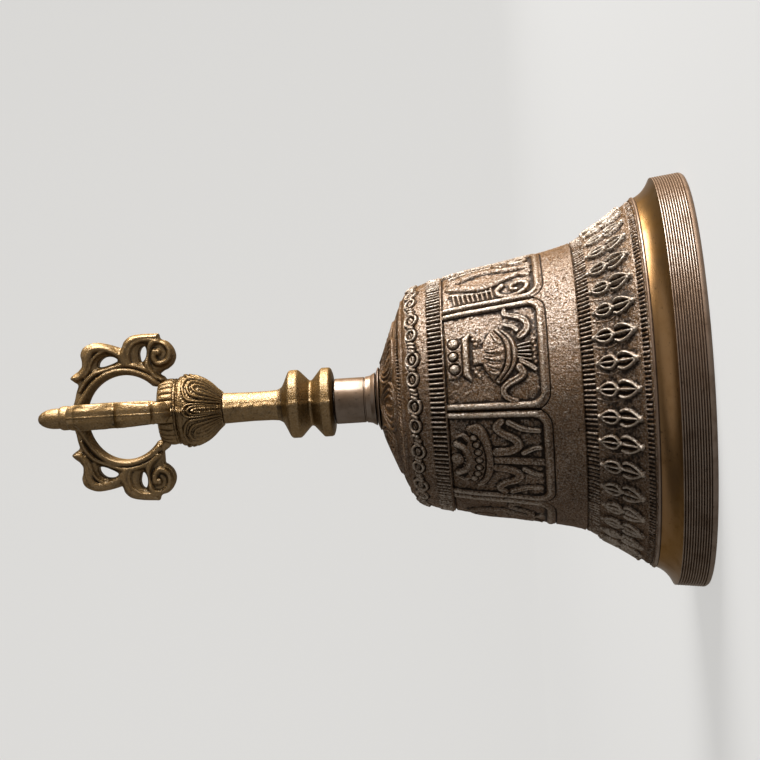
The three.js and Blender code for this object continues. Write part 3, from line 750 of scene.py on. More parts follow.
def draw_vase(sheet):
    """Treasure vase: three jewels, a bracket-like lid, neck, ribbed belly and fluted foot."""
    cup = [
        (-5.1, 21.6), (-5.2, 19.7), (-4.0, 18.5), (-3.2, 18.3), (2.9, 18.3), (3.8, 18.6), (4.8, 19.8),
        (4.7, 21.6),
    ]
    sheet.patch(cup, -0.15, 0.4)
    for across, up, radius in ((-3.4, 20.0, 1.25), (-0.4, 20.2, 1.05), (2.5, 20.0, 1.2)):
        sheet.cut(arc((across, up), radius, 0, 360), 0.24, 0.35)
        sheet.ball((across, up), radius - 0.1, 0.34, -0.2)
    lid = [
        (-4.3, 18.2), (4.1, 18.2), (5.6, 16.4), (4.9, 16.2), (3.6, 16.7), (-3.7, 16.7), (-4.9, 16.2),
        (-5.6, 16.4),
    ]
    sheet.patch(lid, 0.12, 0.45, 0.1)
    for across, up in ((-3.9, 15.7), (-2.7, 15.3), (3.6, 15.5), (2.7, 15.0), (4.4, 14.8), (-3.6, 14.8)):
        sheet.ball((across, up), 0.5, -0.1)
    sheet.patch([(-1.5, 13.6), (-1.5, 16.0), (1.9, 16.0), (1.9, 13.6)], 0.0, 0.35, 0.08)
    belly = smooth_line([
        (-1.6, 13.9), (-3.6, 13.2), (-5.7, 11.6), (-5.6, 10.3), (-4.2, 8.3), (-2.0, 7.0), (0.2, 6.6),
        (2.5, 7.0), (4.6, 8.5), (6.2, 10.4), (6.2, 11.4), (4.6, 12.8), (1.9, 14.0),
    ], 4, True)
    sheet.patch(belly, -0.02, 0.5, 0.22)
    for rim in ([(-5.2, 10.2), (-2.6, 8.3), (0.2, 7.75), (3.1, 8.3), (5.8, 10.5)],
                [(-5.3, 11.4), (-2.8, 9.6), (0.2, 9.0), (3.3, 9.7), (5.6, 11.6)]):
        sheet.cut(smooth_line(rim), 0.24, 0.4)
    for foot, tip, width in (((-0.6, 9.8), (-0.7, 13.3), 0.72), ((1.2, 9.9), (0.6, 13.4), 0.72),
                             ((-2.2, 10.2), (-4.6, 11.9), 0.6), ((2.9, 10.4), (2.0, 13.0), 0.6),
                             ((4.2, 10.9), (3.8, 12.4), 0.5)):
        bend = ((foot[0] + tip[0]) / 2 + 0.25, (foot[1] + tip[1]) / 2)
        leaf = smooth_line([foot, bend, tip])
        sheet.cut(leaf, width + 0.22, 0.35, end_width=0.35)
        sheet.wire(leaf, width, 0.3, 0.0, end_width=0.15)
    for i in range(5):
        across = -1.25 + 0.62 * i
        sheet.wire([(across, 6.5), (across * 1.45 + 0.1, 3.9)], 0.2, 0.12)
    for i in range(7):
        sheet.ball((-2.3 + 0.8 * i, 2.9 + 0.25 * (i % 2)), 0.42, -0.05)
    right = [(3.3, 6.4), (4.6, 5.7), (5.6, 7.0), (6.3, 8.6), (7.3, 9.8), (8.6, 9.9), (9.6, 8.9), (10.1, 7.4)]
    draw_ribbon(sheet, right, 0.95, 0.6)
    draw_ribbon(sheet, [(2.0, 6.0), (2.9, 4.5), (3.9, 3.1)], 0.62, 0.5)
    left = [(-3.3, 5.8), (-4.2, 4.6), (-5.8, 4.3), (-7.2, 5.3), (-8.1, 7.0), (-8.8, 8.8), (-9.8, 8.9)]
    draw_ribbon(sheet, left, 0.95, 0.6)
    draw_ribbon(sheet, [(-4.7, 6.5), (-5.6, 7.4), (-6.2, 9.0)], 0.62, 0.4)


def draw_parasol(sheet):
    """Parasol: ball, domed crown, canopy with a row of discs, pole and hanging drapes."""
    canopy = smooth_line([(-8.9, 15.8), (-7.4, 14.3), (-3.8, 13.3), (0.1, 12.9), (4.1, 13.4), (7.2, 15.0),
                          (8.0, 16.6), (7.0, 17.0), (5.6, 18.2), (2.8, 18.9), (-2.6, 18.9), (-5.4, 17.8),
                          (-7.8, 18.4), (-8.6, 17.4)], 4, True)
    sheet.patch(canopy, 0.02, 0.5, 0.12)
    sheet.cut(smooth_line([(-7.0, 17.6), (-4.6, 15.4), (0.0, 14.6), (4.4, 15.2), (6.8, 16.6)]), 0.26, 0.35)
    discs = [(-5.6, 16.9), (-3.9, 16.4), (-2.0, 16.1), (0.0, 16.0), (2.0, 16.05), (3.9, 16.5), (5.4, 17.3)]
    for across, up in discs:
        sheet.cut(arc((across, up), 0.88, 0, 360, 10), 0.2, 0.42)
        sheet.ball((across, up), 0.72, 0.28, -0.1)
    crown = smooth_line([(-3.9, 20.6), (-2.7, 18.9), (0.0, 18.0), (2.8, 18.8), (4.0, 20.5)])
    sheet.cut(crown, 1.15, 0.2)
    sheet.wire(crown, 0.85, 0.28)
    sheet.ball((0.2, 20.6), 1.55, 0.3)
    for i in range(5):
        sheet.ball((-1.6 + 0.85 * i, 19.2 - 0.18 * (2 - abs(i - 2))), 0.36, 0.05)
    for side in (1, -1):
        horn = smooth_line([(side * 5.2, 18.2), (side * 6.2, 19.3), (side * 5.6, 20.6)])
        sheet.wire(horn, 0.75, 0.0, end_width=0.2)
    sheet.patch([(-0.85, 2.2), (-0.85, 12.9), (0.85, 12.9), (0.85, 2.2)], -0.02, 0.3, 0.1)
    sheet.cut([(-0.3, 2.6), (-0.3, 8.0)], 0.16, 0.14)
    drape = [(2.0, 12.3), (2.4, 9.6), (3.7, 7.6), (5.3, 8.4), (6.5, 10.7), (8.0, 12.0), (9.4, 11.0)]
    fold = [(9.1, 9.4), (7.6, 6.4), (7.2, 3.2)]
    rim = [(2.1, 6.6), (3.2, 4.4), (3.4, 3.0)]
    for way in (drape, mirrored(drape)):
        draw_ribbon(sheet, way, 1.15, 0.9)
    for way in (fold, mirrored(fold)):
        draw_ribbon(sheet, way, 0.8, 0.6)
    for way in (rim, mirrored(rim)):
        draw_ribbon(sheet, way, 0.65, 0.5)


def draw_fishes(sheet):
    """Two fishes side by side, each with a comb of fin rays at its back, over curled waves."""
    for side in (1, -1):
        body = smooth_line([(side * x, y) for x, y in
                            ((1.6, 19.6), (2.9, 17.0), (4.2, 14.2), (4.1, 11.4), (2.7, 8.8), (1.7, 5.8))])
        sheet.wire(body, 1.7, 0.22, end_width=0.9, roundness=0.4)
        sheet.ball((side * 1.7, 19.4), 1.5, 0.26)
        sheet.cut(arc((side * 1.7, 19.4), 0.55, 0, 360, 10), 0.16, 0.25)
        sheet.cut(smooth_line([(side * 0.6, 17.8), (side * 2.0, 17.6), (side * 3.6, 18.4)]), 0.18, 0.25)
        for i in range(9):
            share = i / 8
            foot = (side * (5.7 + 1.2 * math.sin(math.pi * share)), 19.6 - 8.2 * share)
            sheet.wire([foot, (side * 9.5, foot[1] - 0.4)], 0.3, 0.05)
        spine = smooth_line([(side * 5.2, 20.3), (side * 6.2, 17.4), (side * 6.9, 14.0), (side * 6.7, 11.2)])
        sheet.wire(spine, 0.32, 0.1)
        for tip in ((0.5, 3.0), (1.7, 2.7), (2.9, 3.2)):
            sheet.wire([(side * 1.7, 5.8), (side * tip[0], tip[1])], 0.4, 0.1, end_width=0.55)
        curl = smooth_line([(side * x, y) for x, y in (
            (5.4, 9.0), (7.4, 10.2), (9.3, 9.2), (9.8, 6.8), (8.6, 4.3), (6.6, 3.6), (5.4, 5.0), (6.0, 6.8),
            (7.5, 7.0), (7.9, 5.8))])
        sheet.wire(curl, 0.7, 0.16, end_width=0.5)


def draw_lotus(sheet):
    """Open lotus: a bud between pairs of petals, on a stem with two leaves."""
    for side in (1, -1):
        for foot, middle, tip, width in (((1.0, 9.2), (6.2, 9.6), (9.2, 12.6), 1.3),
                                         ((0.8, 9.8), (4.8, 12.2), (6.8, 16.2), 1.4),
                                         ((0.5, 10.4), (2.8, 14.4), (3.4, 18.6), 1.4)):
            petal = smooth_line([(side * x, y) for x, y in (foot, middle, tip)])
            sheet.wire(petal, width, 0.16, end_width=0.25)
            sheet.cut(petal, 0.5, 0.14, end_width=0.1)
            sheet.cut(shifted(petal, side * 0.05, -1.25), 0.18, 0.2)
    sheet.wire([(0, 10.0), (0, 15.0), (0, 20.0)], 1.6, 0.32, end_width=0.2)
    sheet.cut([(0, 12.0), (0, 18.5)], 0.24, 0.25)
    for i in range(7):
        sheet.ball((-2.4 + 0.8 * i, 8.9 - 0.12 * (3 - abs(i - 3))), 0.46, 0.2)
    sheet.wire([(0, 8.4), (0, 2.4)], 0.5, 0.05)
    draw_side_ribbons(sheet)


def draw_shell(sheet):
    """Conch with a coiled top, a flared lip and growth lines."""
    body = smooth_line([
        (-1.0, 4.6), (-4.2, 8.6), (-5.4, 13.0), (-4.2, 17.0), (-0.8, 19.4), (3.0, 18.2), (5.0, 14.8),
        (4.4, 10.6), (1.8, 7.2),
    ], 5, True)
    sheet.patch(body, 0.0, 0.7, 0.35)
    coil = []
    for k in range(14):
        turn = 0.5 * k + 0.4
        coil.append((-0.3 + (3.9 - 0.28 * k) * math.cos(turn), 14.6 + (3.6 - 0.26 * k) * math.sin(turn)))
    sheet.cut(smooth_line(coil), 0.3, 0.35)
    for i in range(5):
        x, y = -3.8 + 0.5 * i, 11.0 - 1.2 * i
        sheet.cut(smooth_line([(x, y), (x + 2.6, y - 0.9), (x + 5.2, y + 0.6)]), 0.18, 0.2)
    draw_side_ribbons(sheet)


def draw_knot(sheet):
    """Endless knot: bands crossing over and under each other, looped at the sides."""
    reach = 5.4
    middle = 11.4
    for step in (-1, 0, 1):
        offset = step * 3.6
        for slope in (1, -1):
            half = reach - abs(step) * 1.1
            start = (-half + offset / 2, middle - slope * half - slope * offset / 2)
            end = (half + offset / 2, middle + slope * half - slope * offset / 2)
            band = [start, end]
            sheet.cut(band, 0.95, 0.12)
            sheet.wire(band, 0.66, 0.14)
            sheet.cut(band, 0.22, 0.14)
    for centre, start in (((0, 18.6), -50), ((0, 4.2), 130), ((-7.0, 11.4), 40), ((7.0, 11.4), 220)):
        sheet.wire(arc(centre, 1.5, start, start + 280, 14), 0.6, 0.14)
    draw_side_ribbons(sheet)


def draw_banner(sheet):
    """Banner of victory: a ball, three skirted tiers and a pole."""
    for level, half in ((16.2, 3.4), (12.0, 4.3), (7.8, 5.2)):
        tier = [(-half, level), (-half + 0.9, level + 3.6), (half - 0.9, level + 3.6), (half, level)]
        sheet.patch(tier, 0.02, 0.4, 0.16)
        sheet.cut([(-half + 0.8, level + 3.0), (half - 0.8, level + 3.0)], 0.2, 0.25)
        count = int(half * 2 / 0.85)
        for i in range(count):
            across = -half + 0.5 + i * (2 * half - 1.0) / (count - 1)
            sheet.wire([(across, level + 2.2), (across * 1.04, level + 0.1)], 0.34, 0.24)
    sheet.ball((0, 20.6), 1.2, 0.3)
    sheet.wire([(0, 7.8), (0, 2.4)], 0.7, 0.05)
    draw_side_ribbons(sheet)


def draw_wheel(sheet):
    """Wheel with a hub, eight spokes and small knobs on its rim."""
    centre = (0.0, 12.0)
    sheet.wire(arc(centre, 5.6, 0, 360, 40), 1.0, 0.2)
    sheet.cut(arc(centre, 5.6, 0, 360, 40), 0.3, 0.2)
    sheet.ball(centre, 1.7, 0.35)
    sheet.cut(arc(centre, 1.1, 0, 360, 14), 0.18, 0.25)
    for i in range(8):
        turn = math.radians(45 * i + 22.5)
        way = (math.cos(turn), math.sin(turn))
        spoke = [(centre[0] + share * way[0], centre[1] + share * way[1]) for share in (1.6, 4.8)]
        sheet.wire(spoke, 0.42, 0.16, end_width=0.62)
        sheet.ball((centre[0] + 7.0 * way[0], centre[1] + 7.0 * way[1]), 0.62, 0.15)
    draw_side_ribbons(sheet)


PANEL_DRAWINGS = [
    draw_vase, draw_parasol, draw_shell, draw_knot, draw_wheel, draw_banner, draw_lotus, draw_fishes,
]


# Bands round the wall

def bars(turns, count, seed, share=0.62):
    """Rounded bars round the wall, uneven as cut by hand: 1 on a bar's crest and 0 between bars."""
    dice = np.random.default_rng(seed)
    drift = np.interp(turns, np.linspace(0, 1, 13), np.append(dice.uniform(-0.5, 0.5, 12), 0)) * 0.6
    place = (turns + drift / count) * count
    near = np.abs(place - np.floor(place) - 0.5) / (share / 2)
    crest = np.clip(1 - near**2, 0, None) ** 0.5
    strength = dice.uniform(0.7, 1.0, count + 2)
    return crest * strength[np.floor(place).astype(int) % count]


def band_share(up, low, high, edge):
    """1 between two heights, falling off over the edge outside them."""
    return np.clip((up - low) / edge + 1, 0, 1) * np.clip((high - up) / edge + 1, 0, 1)


def draw_vajra(sheet, across, foot, size, lean):
    """A small standing vajra: a ball, a ribbed tulip, a bead, a ribbed bud and a small ball."""
    def at(x, y):
        return (across + size * x + lean * y, foot + size * y)

    bud = [(0.15, 10.2), (1.0, 9.3), (1.42, 8.0), (1.2, 6.8), (0.3, 6.0)]
    tulip = [(1.45, 5.35), (1.85, 4.4), (1.65, 3.2), (1.1, 2.0), (0.35, 0.9)]
    for lobe in (bud, tulip):
        half = [at(x, y) for x, y in lobe]
        other = [at(-x, y) for x, y in reversed(lobe)]
        sheet.patch(smooth_line(half + other, 4, True), 0.2, 0.5)
        for side in (1, -1):
            sheet.cut(smooth_line([at(side * x * 0.5, y) for x, y in lobe], 4), 0.32, 0.6)
            sheet.wire(smooth_line([at(side * x, y) for x, y in lobe], 5), 0.27, 0.72, end_width=0.33)
        sheet.wire([at(0, lobe[0][1] - 0.4), at(0, lobe[-1][1] + 0.3)], 0.24, 0.78)
    sheet.ball(at(0, 10.75), 0.5, 0.65)
    sheet.ball(at(0, 5.6), 0.45, 0.75)
    sheet.ball(at(0, 0.4), 0.6, 0.85)
    halo = smooth_line([at(2.1, 10.9), at(2.75, 9.2), at(2.8, 7.0), at(2.2, 5.2)])
    sheet.wire(halo, 0.22, 0.2, end_width=0.1)


def draw_lying_vajra(sheet, across, up, size, tilt):
    """A vajra lying along the shoulder: two rimmed ovals with a slit lens in each, and beads."""
    def at(x, y):
        return (across + size * x, up + size * y + tilt * x)

    def oval(centre, wide, tall):
        return [at(centre + wide * math.cos(a), tall * math.sin(a)) for a in np.linspace(0, 2 * math.pi, 17)]

    for centre, wide, tall in ((-2.05, 1.5, 1.45), (2.05, 1.35, 1.2)):
        sheet.cut(oval(centre, wide + 0.45, tall + 0.45), 0.2, 0.3)
        sheet.sink(oval(centre, wide, tall)[:-1], -0.4, 0.3)
        sheet.wire(oval(centre, wide, tall), 0.3, 0.45, -0.1)
        sheet.patch(oval(centre, 0.62 * wide, 0.42 * tall)[:-1], 0.25, 0.3)
        sheet.cut([at(centre - 0.4, 0.1), at(centre + 0.45, -0.08)], 0.17, 0.45)
    for bead in (-4.75, -3.9, 0.0, 4.3):
        sheet.cut([at(bead - 0.3, 0.7), at(bead + 0.3, -0.7)], 0.62, 0.3)
        sheet.wire([at(bead - 0.16, 0.4), at(bead + 0.16, -0.4)], 0.44, 0.5)


def ring_sheet(rows, columns):
    """Sheet for a whole band, with the turn share and the angle of each column."""
    radius = rows[0].mean()
    turns = np.arange(columns) / columns
    across = turns * 2 * math.pi * radius
    return Sheet(across, rows[4], 0.0, True), turns, turns * 360.0


def fence_relief(sheet, turns):
    """Hatch ring, a lower hatch ring and the bead line over the cove; the standing vajras between them are
    drawn apart.
    """
    up = sheet.up[:, None]
    top = sheet.up[-1]
    upper = band_share(up, top - 2.75, top - 0.3, 0.2)
    lower = band_share(up, 0.85, 2.05, 0.15)
    foot = np.clip((top - 1.2 - up) / 1.4, 0, 1)
    sheet.height += upper * ((0.5 + 0.2 * foot) * bars(turns, UPPER_HATCH_COUNT, 3, 0.56)[None, :] - 0.45)
    sheet.height += lower * (0.5 * bars(turns, LOWER_HATCH_COUNT, 4, 0.56)[None, :] - 0.42)
    sheet.height -= 0.35 * np.clip(1 - np.abs(up - (top - 0.22)) / 0.24, 0, None)
    sheet.height -= 0.3 * np.clip(1 - np.abs(up - 0.62) / 0.25, 0, None)


def sector_sheet(rows, start, end, cells_per_mm):
    radius = rows[0].mean()
    columns = int(math.radians(end - start) * radius * cells_per_mm) + 1
    degrees = np.linspace(start, end, columns)
    across = np.radians(degrees - (start + end) / 2) * radius
    return Sheet(across, rows[4]), degrees


def wall_piece(name, rows, degrees, sheet, cells, closed=True):
    """Wraps a finished sheet on the bell; hollows are measured against so many cells around."""
    piece = skin(name, rows, degrees, sheet.height, sheet.hollow(cells), closed)
    finish_piece(piece, "bell", wall_bronze())


def make_fence():
    """The flared band of standing vajras, as three sectors."""
    rows = wall_rows(WALL_LINE, COVE_TOP, FENCE_TOP, 112)
    pitch = 360.0 / VAJRA_COUNT
    sectors = 3
    each = VAJRA_COUNT // sectors
    middle_radius = rows[0].mean()
    for sector in range(sectors):
        start = 1.3 + pitch * (sector * each - 7 - 0.35)
        end = start + each * pitch
        sheet, degrees = sector_sheet(rows, start, end, 6.0)
        fence_relief(sheet, (degrees / 360.0) % 1.0)
        dice = np.random.default_rng(20 + sector)
        for i in range(each):
            centre = (start + end) / 2
            across = math.radians(start + (i + 0.35) * pitch - centre) * middle_radius
            across += dice.uniform(-0.12, 0.12)
            draw_vajra(sheet, across, 3.0, dice.uniform(0.89, 0.94), dice.uniform(-0.02, 0.02))
        sheet.sand(0.03, 1, 0.3, 31 + sector)
        wall_piece(f"fence_{sector + 1}", rows, degrees, sheet, 8, False)


def make_waist():
    """The plain sandy band under the panels."""
    rows = wall_rows(WALL_LINE, FENCE_TOP, PANEL_FOOT, 36)
    sheet, _, degrees = ring_sheet(rows, 800)
    sheet.sand(0.022, 1, 1.0, 41)
    wall_piece("waist_band", rows, degrees, sheet, 3)


def panel_edges():
    """The angles at which the panels meet, once round."""
    edges = [*FRONT_PANEL, SECOND_PANEL_END]
    left = 360.0 - (SECOND_PANEL_END - FRONT_PANEL[0])
    others = PANEL_COUNT - 2
    edges += [SECOND_PANEL_END + left * (i + 1) / others for i in range(others)]
    return edges


def make_panels():
    """Eight framed panels, each with its own lucky sign."""
    rows = wall_rows(WALL_LINE, PANEL_FOOT, PANEL_TOP, 160)
    edges = panel_edges()
    for number, (start, end) in enumerate(zip(edges, edges[1:])):
        sheet, degrees = sector_sheet(rows, start, end, 7.4)
        half = sheet.across[-1]
        top = sheet.up[-1]
        draw_frame(sheet, half, top)
        sheet.ground = GROUND
        squeeze = half / math.radians((FRONT_PANEL[1] - FRONT_PANEL[0]) / 2) / rows[0].mean()
        true_across = sheet.across
        sheet.across = true_across / squeeze
        PANEL_DRAWINGS[number](sheet)
        sheet.across = true_across
        sheet.sand(0.035, 1, -0.2, 50 + number)
        sheet.sand(0.012, 1, 1.0, 60 + number)
        sheet.height -= 0.3 * np.clip(1 - np.abs(sheet.up - top + 0.15) / 0.3, 0, None)[:, None]
        wall_piece(f"panel_{number + 1}", rows, degrees, sheet, 5, False)


def make_bar_band():
    """The band of short upright bars over the panels."""
    rows = wall_rows(WALL_LINE, PANEL_TOP, BARS_TOP, 30)
    sheet, turns, degrees = ring_sheet(rows, BAR_COUNT * 12)
    up = sheet.up[:, None]
    top = sheet.up[-1]
    field = band_share(up, 0.45, top - 0.25, 0.2)
    foot = 1.0 + 0.25 * np.clip(1.2 - up, 0, 1)
    crest = bars(turns, BAR_COUNT, 5, 0.58)[None, :]
    sheet.height += field * (0.85 * foot * crest - 0.62)
    wall_piece("bar_band", rows, degrees, sheet, 3)


def make_shoulder():
    """The rounded shoulder with its chain of lying vajras, and the thin ridge at its top."""
    rows = wall_rows(WALL_LINE, BARS_TOP, SHOULDER_TOP, 52)
    sheet, _, degrees = ring_sheet(rows, 1050)
    whole = sheet.across[-1] + sheet.across[1]
    dice = np.random.default_rng(70)
    middle = 3.55
    for i in range(CHAIN_COUNT):
        across = ((9.75 / 360.0 + i / CHAIN_COUNT) % 1.0) * whole
        size = dice.uniform(0.92, 1.06)
        tilt = dice.uniform(-0.07, 0.07)
        for lap in (-whole, 0.0, whole):
            if -6 < across + lap < whole + 6:
                draw_lying_vajra(sheet, across + lap, middle, size, tilt)
    sheet.height += 0.3 * np.clip(1 - np.abs(sheet.up - sheet.up[-1] + 0.35) / 0.4, 0, None)[:, None]
    sheet.sand(0.028, 1, 0.15, 71)
    wall_piece("shoulder_band", rows, degrees, sheet, 4)


def draw_crown_petals(sheet, whole):
    """Broad lotus petals as nested eggs, blunt towards the rope ring; drawn per angle, not per mm."""
    pitch = whole / CROWN_PETAL_COUNT
    foot = 4.5
    head = sheet.up[-1] - 0.5
    centre = (7.7 / 360.0) * whole
    egg = [(0.0, 0.0), (0.62, 0.03), (0.96, 0.25), (0.98, 0.5), (0.72, 0.82), (0.0, 1.0)]
    for i in range(-1, CROWN_PETAL_COUNT + 1):
        middle = centre + i * pitch
        for share, crest in ((0.95, 0.34), (0.68, 0.3), (0.42, 0.26)):
            low = foot + 2.2 * (1 - share)
            rise = head - 3.4 * (1 - share) - low
            half = pitch * share / 2
            side = [(middle + half * x, low + rise * y) for x, y in egg]
            other = [(middle - half * x, low + rise * y) for x, y in egg[-2:0:-1]]
            sheet.wire(smooth_line(side + other, 6, True), 0.42, crest, -0.05)
        for k in range(3):
            sheet.ball((middle, foot + 2.6 + 1.2 * k), 0.55, 0.3)


def make_crown():
    """The sloping crown: a slanted rope ring and nested petals round the collar."""
    rows = wall_rows(WALL_LINE, SHOULDER_TOP, CROWN_TOP, 90)
    sheet, turns, degrees = ring_sheet(rows, 800)
    whole = sheet.across[-1] + sheet.across[1]
    up = sheet.up[:, None]
    rope = band_share(up, 1.3, 2.6, 0.25)
    slanted = (turns[None, :] + (up - 2.0) * 0.0022) % 1.0
    sheet.height += rope * (0.5 * bars(slanted, ROPE_COUNT, 80, 0.55) - 0.42)
    for groove in (0.55, 3.6):
        sheet.height -= 0.25 * np.clip(1 - np.abs(up - groove) / 0.3, 0, None)
    draw_crown_petals(sheet, whole)
    sheet.sand(0.02, 1, 0.15, 81)
    wall_piece("crown_relief", rows, degrees, sheet, 3)


def rim_profile():
    """Lip, turned grooves of the rim band and hollow cove, from the mouth up."""
    lip_foot = 44.2
    widest = 45.0
    band_top = 44.3
    profile = [(lip_foot - 0.5, 0.0), (lip_foot, 0.02), (lip_foot + 0.45, 0.2), (widest - 0.1, 0.55)]
    profile += [(widest, 0.85), (widest, LIP_TOP)]
    pitch = (RIM_TOP - LIP_TOP) / RIM_GROOVE_COUNT
    for i in range(RIM_GROOVE_COUNT):
        foot = LIP_TOP + i * pitch
        radius = widest - (widest - band_top) * (i + 0.5) / RIM_GROOVE_COUNT
        for share, depth in ((0.12, 0.2), (0.22, 0.3), (0.34, 0.2), (0.5, 0.04), (0.68, 0.0), (0.86, 0.03)):
            profile.append((radius - depth, foot + share * pitch))
    foot = (band_top - 0.35, RIM_TOP + 0.1)
    top = (WALL_LINE[0][1] + 0.25, COVE_TOP - 0.75)
    for i in range(15):
        share = i / 14
        hollow = 4 * share * (1 - share) * 0.45
        radius = foot[0] + (top[0] - foot[0]) * share - hollow
        height = foot[1] + (top[1] - foot[1]) * share - hollow * 0.6
        profile.append((radius, height))
    edge = WALL_LINE[0][1]
    profile += [(edge + 0.05, COVE_TOP - 0.68), (edge + 0.38, COVE_TOP - 0.58), (edge + 0.46, COVE_TOP - 0.4)]
    profile += [(edge + 0.36, COVE_TOP - 0.2), (edge + 0.05, COVE_TOP - 0.04), (edge, COVE_TOP)]
    return profile


def make_core():
    """The cast body under the relief: lip, rim, cove, sunk wall, crown seat and smooth inside."""
    outer = rim_profile()
    seat = 7.6
    heights = np.linspace(COVE_TOP + 0.1, CROWN_TOP - 0.6, 60)
    outer += [(max(radius - CORE_SINK, seat), height) for radius, height in
              zip(profile_at(WALL_LINE, heights), heights)]
    outer += [(seat, CROWN_TOP - 0.3), (7.25, CROWN_TOP - 0.02), (BOLT_HOLE, CROWN_TOP - 0.02)]
    inner_heights = np.linspace(INNER_LINE[-1][0], 0.0, 60)
    inner = [(radius, height) for radius, height in zip(profile_at(INNER_LINE, inner_heights), inner_heights)]
    profile = outer + [(BOLT_HOLE, inner_heights[0])] + inner
    profile.append(profile[0])
    core = spun("bell_core", profile, 224)
    smooth_shade(core, 32)
    finish_piece(core, "bell", inner_bronze(), ["bell_body"])
    core.data.materials.append(rim_bronze())
    core.data.materials.append(cove_bronze())
    levels = np.linspace(0, 12, 25)
    wall = profile_at(INNER_LINE, levels)
    for face in core.data.polygons:
        centre = face.center / MM
        radius = math.hypot(centre.x, centre.y)
        height = centre.z
        outside = height < 12 and radius > np.interp(height, levels, wall) + 0.6
        if outside and (height < RIM_TOP or height > COVE_TOP - 0.72):
            face.material_index = 1
        elif outside:
            face.material_index = 2


# Shaping of whole pieces

def hollow_of(piece, passes):
    """How deep each point lies under its surroundings, in millimetres, from the mesh itself."""
    mesh = piece.data
    places = places_of(piece)
    ends = np.empty(len(mesh.edges) * 2, np.int32)
    mesh.edges.foreach_get("vertices", ends)
    ends = ends.reshape(-1, 2)
    count = len(places)
    degree = np.bincount(ends.ravel(), minlength=count)[:, None]
    smooth = places.copy()
    for _ in range(passes):
        total = np.empty_like(smooth)
        for axis in range(3):
            total[:, axis] = np.bincount(ends[:, 0], smooth[ends[:, 1], axis], count)
            total[:, axis] += np.bincount(ends[:, 1], smooth[ends[:, 0], axis], count)
        smooth = 0.5 * smooth + 0.5 * total / np.maximum(degree, 1)
    normals = np.empty(count * 3, np.float32)
    mesh.vertex_normals.foreach_get("vector", normals)
    return ((smooth - places) * normals.reshape(-1, 3)).sum(1)


def bearing(places):
    """Angle in degrees of each point from the camera side, and its distance from the axis."""
    degrees = np.degrees(np.arctan2(-places[:, 0], -places[:, 1]))
    return degrees, np.hypot(places[:, 0], places[:, 1])


def add_seam(piece, height, half_width):
    """The rough bright line that the two halves of the mould left along the handle."""
    places = places_of(piece)
    degrees, distance = bearing(places)
    level = places[:, 2]
    wander = 0.14 * np.sin(level * 1.9) + 0.1 * np.sin(level * 4.3 + 1.0)
    rough = 0.8 + 0.2 * np.sin(level * 7.1) + 0.18 * np.sin(level * 12.7 + 2.0)
    across = np.radians(degrees) * distance + wander
    rise = height * rough * np.exp(-(across / half_width) ** 2) * (distance > 2.5)
    scale = (distance + rise) / np.maximum(distance, 1e-6)
    places[:, 0] *= scale
    places[:, 1] *= scale
    set_places(piece, places)


def merged(name, pieces, voxel, softening):
    """Several overlapping pieces made into one even skin."""
    pick_nothing()
    for piece in pieces:
        piece.select_set(True)
    bpy.context.view_layer.objects.active = pieces[0]
    if len(pieces) > 1:
        bpy.ops.object.join()
    whole = bpy.context.object
    whole.name = name
    whole.data.name = name
    remesh = whole.modifiers.new("even", "REMESH")
    remesh.mode = "VOXEL"
    remesh.voxel_size = voxel * MM
    if softening:
        relax = whole.modifiers.new("soft", "SMOOTH")
        relax.factor = 0.5
        relax.iterations = softening
    apply_modifiers(whole)
    pick(whole)
    bpy.ops.object.shade_smooth()
    return whole


def torus(name, ring_radius, wire_radius, level):
    """A ring standing in the XZ plane with its centre on the axis."""
    pick_nothing()
    bpy.ops.mesh.primitive_torus_add(
        major_radius=ring_radius * MM, minor_radius=wire_radius * MM, major_segments=72, minor_segments=28,
        location=(0, 0, 0), rotation=(0, 0, 0),
    )
    piece = bpy.context.object
    piece.name = name
    piece.data.name = name
    places = places_of(piece)
    set_places(piece, np.column_stack([places[:, 0], -places[:, 2], places[:, 1] + level]))
    return piece


# Handle

LOTUS_FOOT = 103.15
BEAD_FOOT = 113.4
LOTUS_TOP = 117.2
DEGREES_PER_MM = 7.5
RING_CENTRE = 124.9
RING_INNER = 8.7
BOSS_TOP = 136.9
TIP_TOP = 144.8
PRONG_HALF = 2.5
SEAM_HEIGHT = 0.3
SEAM_HALF = 0.55


def make_mount():
    """Collar and ferrule: a flared foot, a dark joint and a plain turned tube."""
    collar = [
        (BOLT_HOLE, 68.3), (6.75, 68.3), (6.9, 68.42), (6.9, 68.6), (6.5, 68.75), (5.95, 69.0),
        (BOLT_HOLE, 69.0),
    ]
    piece = spun("collar", rounded(collar + collar[:1], 0.08), 144)
    smooth_shade(piece, 35)
    finish_piece(piece, "bell", ferrule_metal(), ["crown_collar"])
    flare = [
        (5.85, 69.3), (5.6, 69.75), (5.25, 70.3), (5.1, 70.9), (5.08, 71.4), (4.85, 71.5), (4.85, 71.72),
        (5.0, 71.82),
    ]
    tube = [(BOLT_HOLE, 69.3), *flare, (5.0, 78.1), (4.85, 78.3), (BOLT_HOLE, 78.3)]
    piece = spun("ferrule_tube", rounded(tube + tube[:1], 0.06), 144)
    smooth_shade(piece, 35)
    finish_piece(piece, "bell", ferrule_metal(), ["ferrule"])


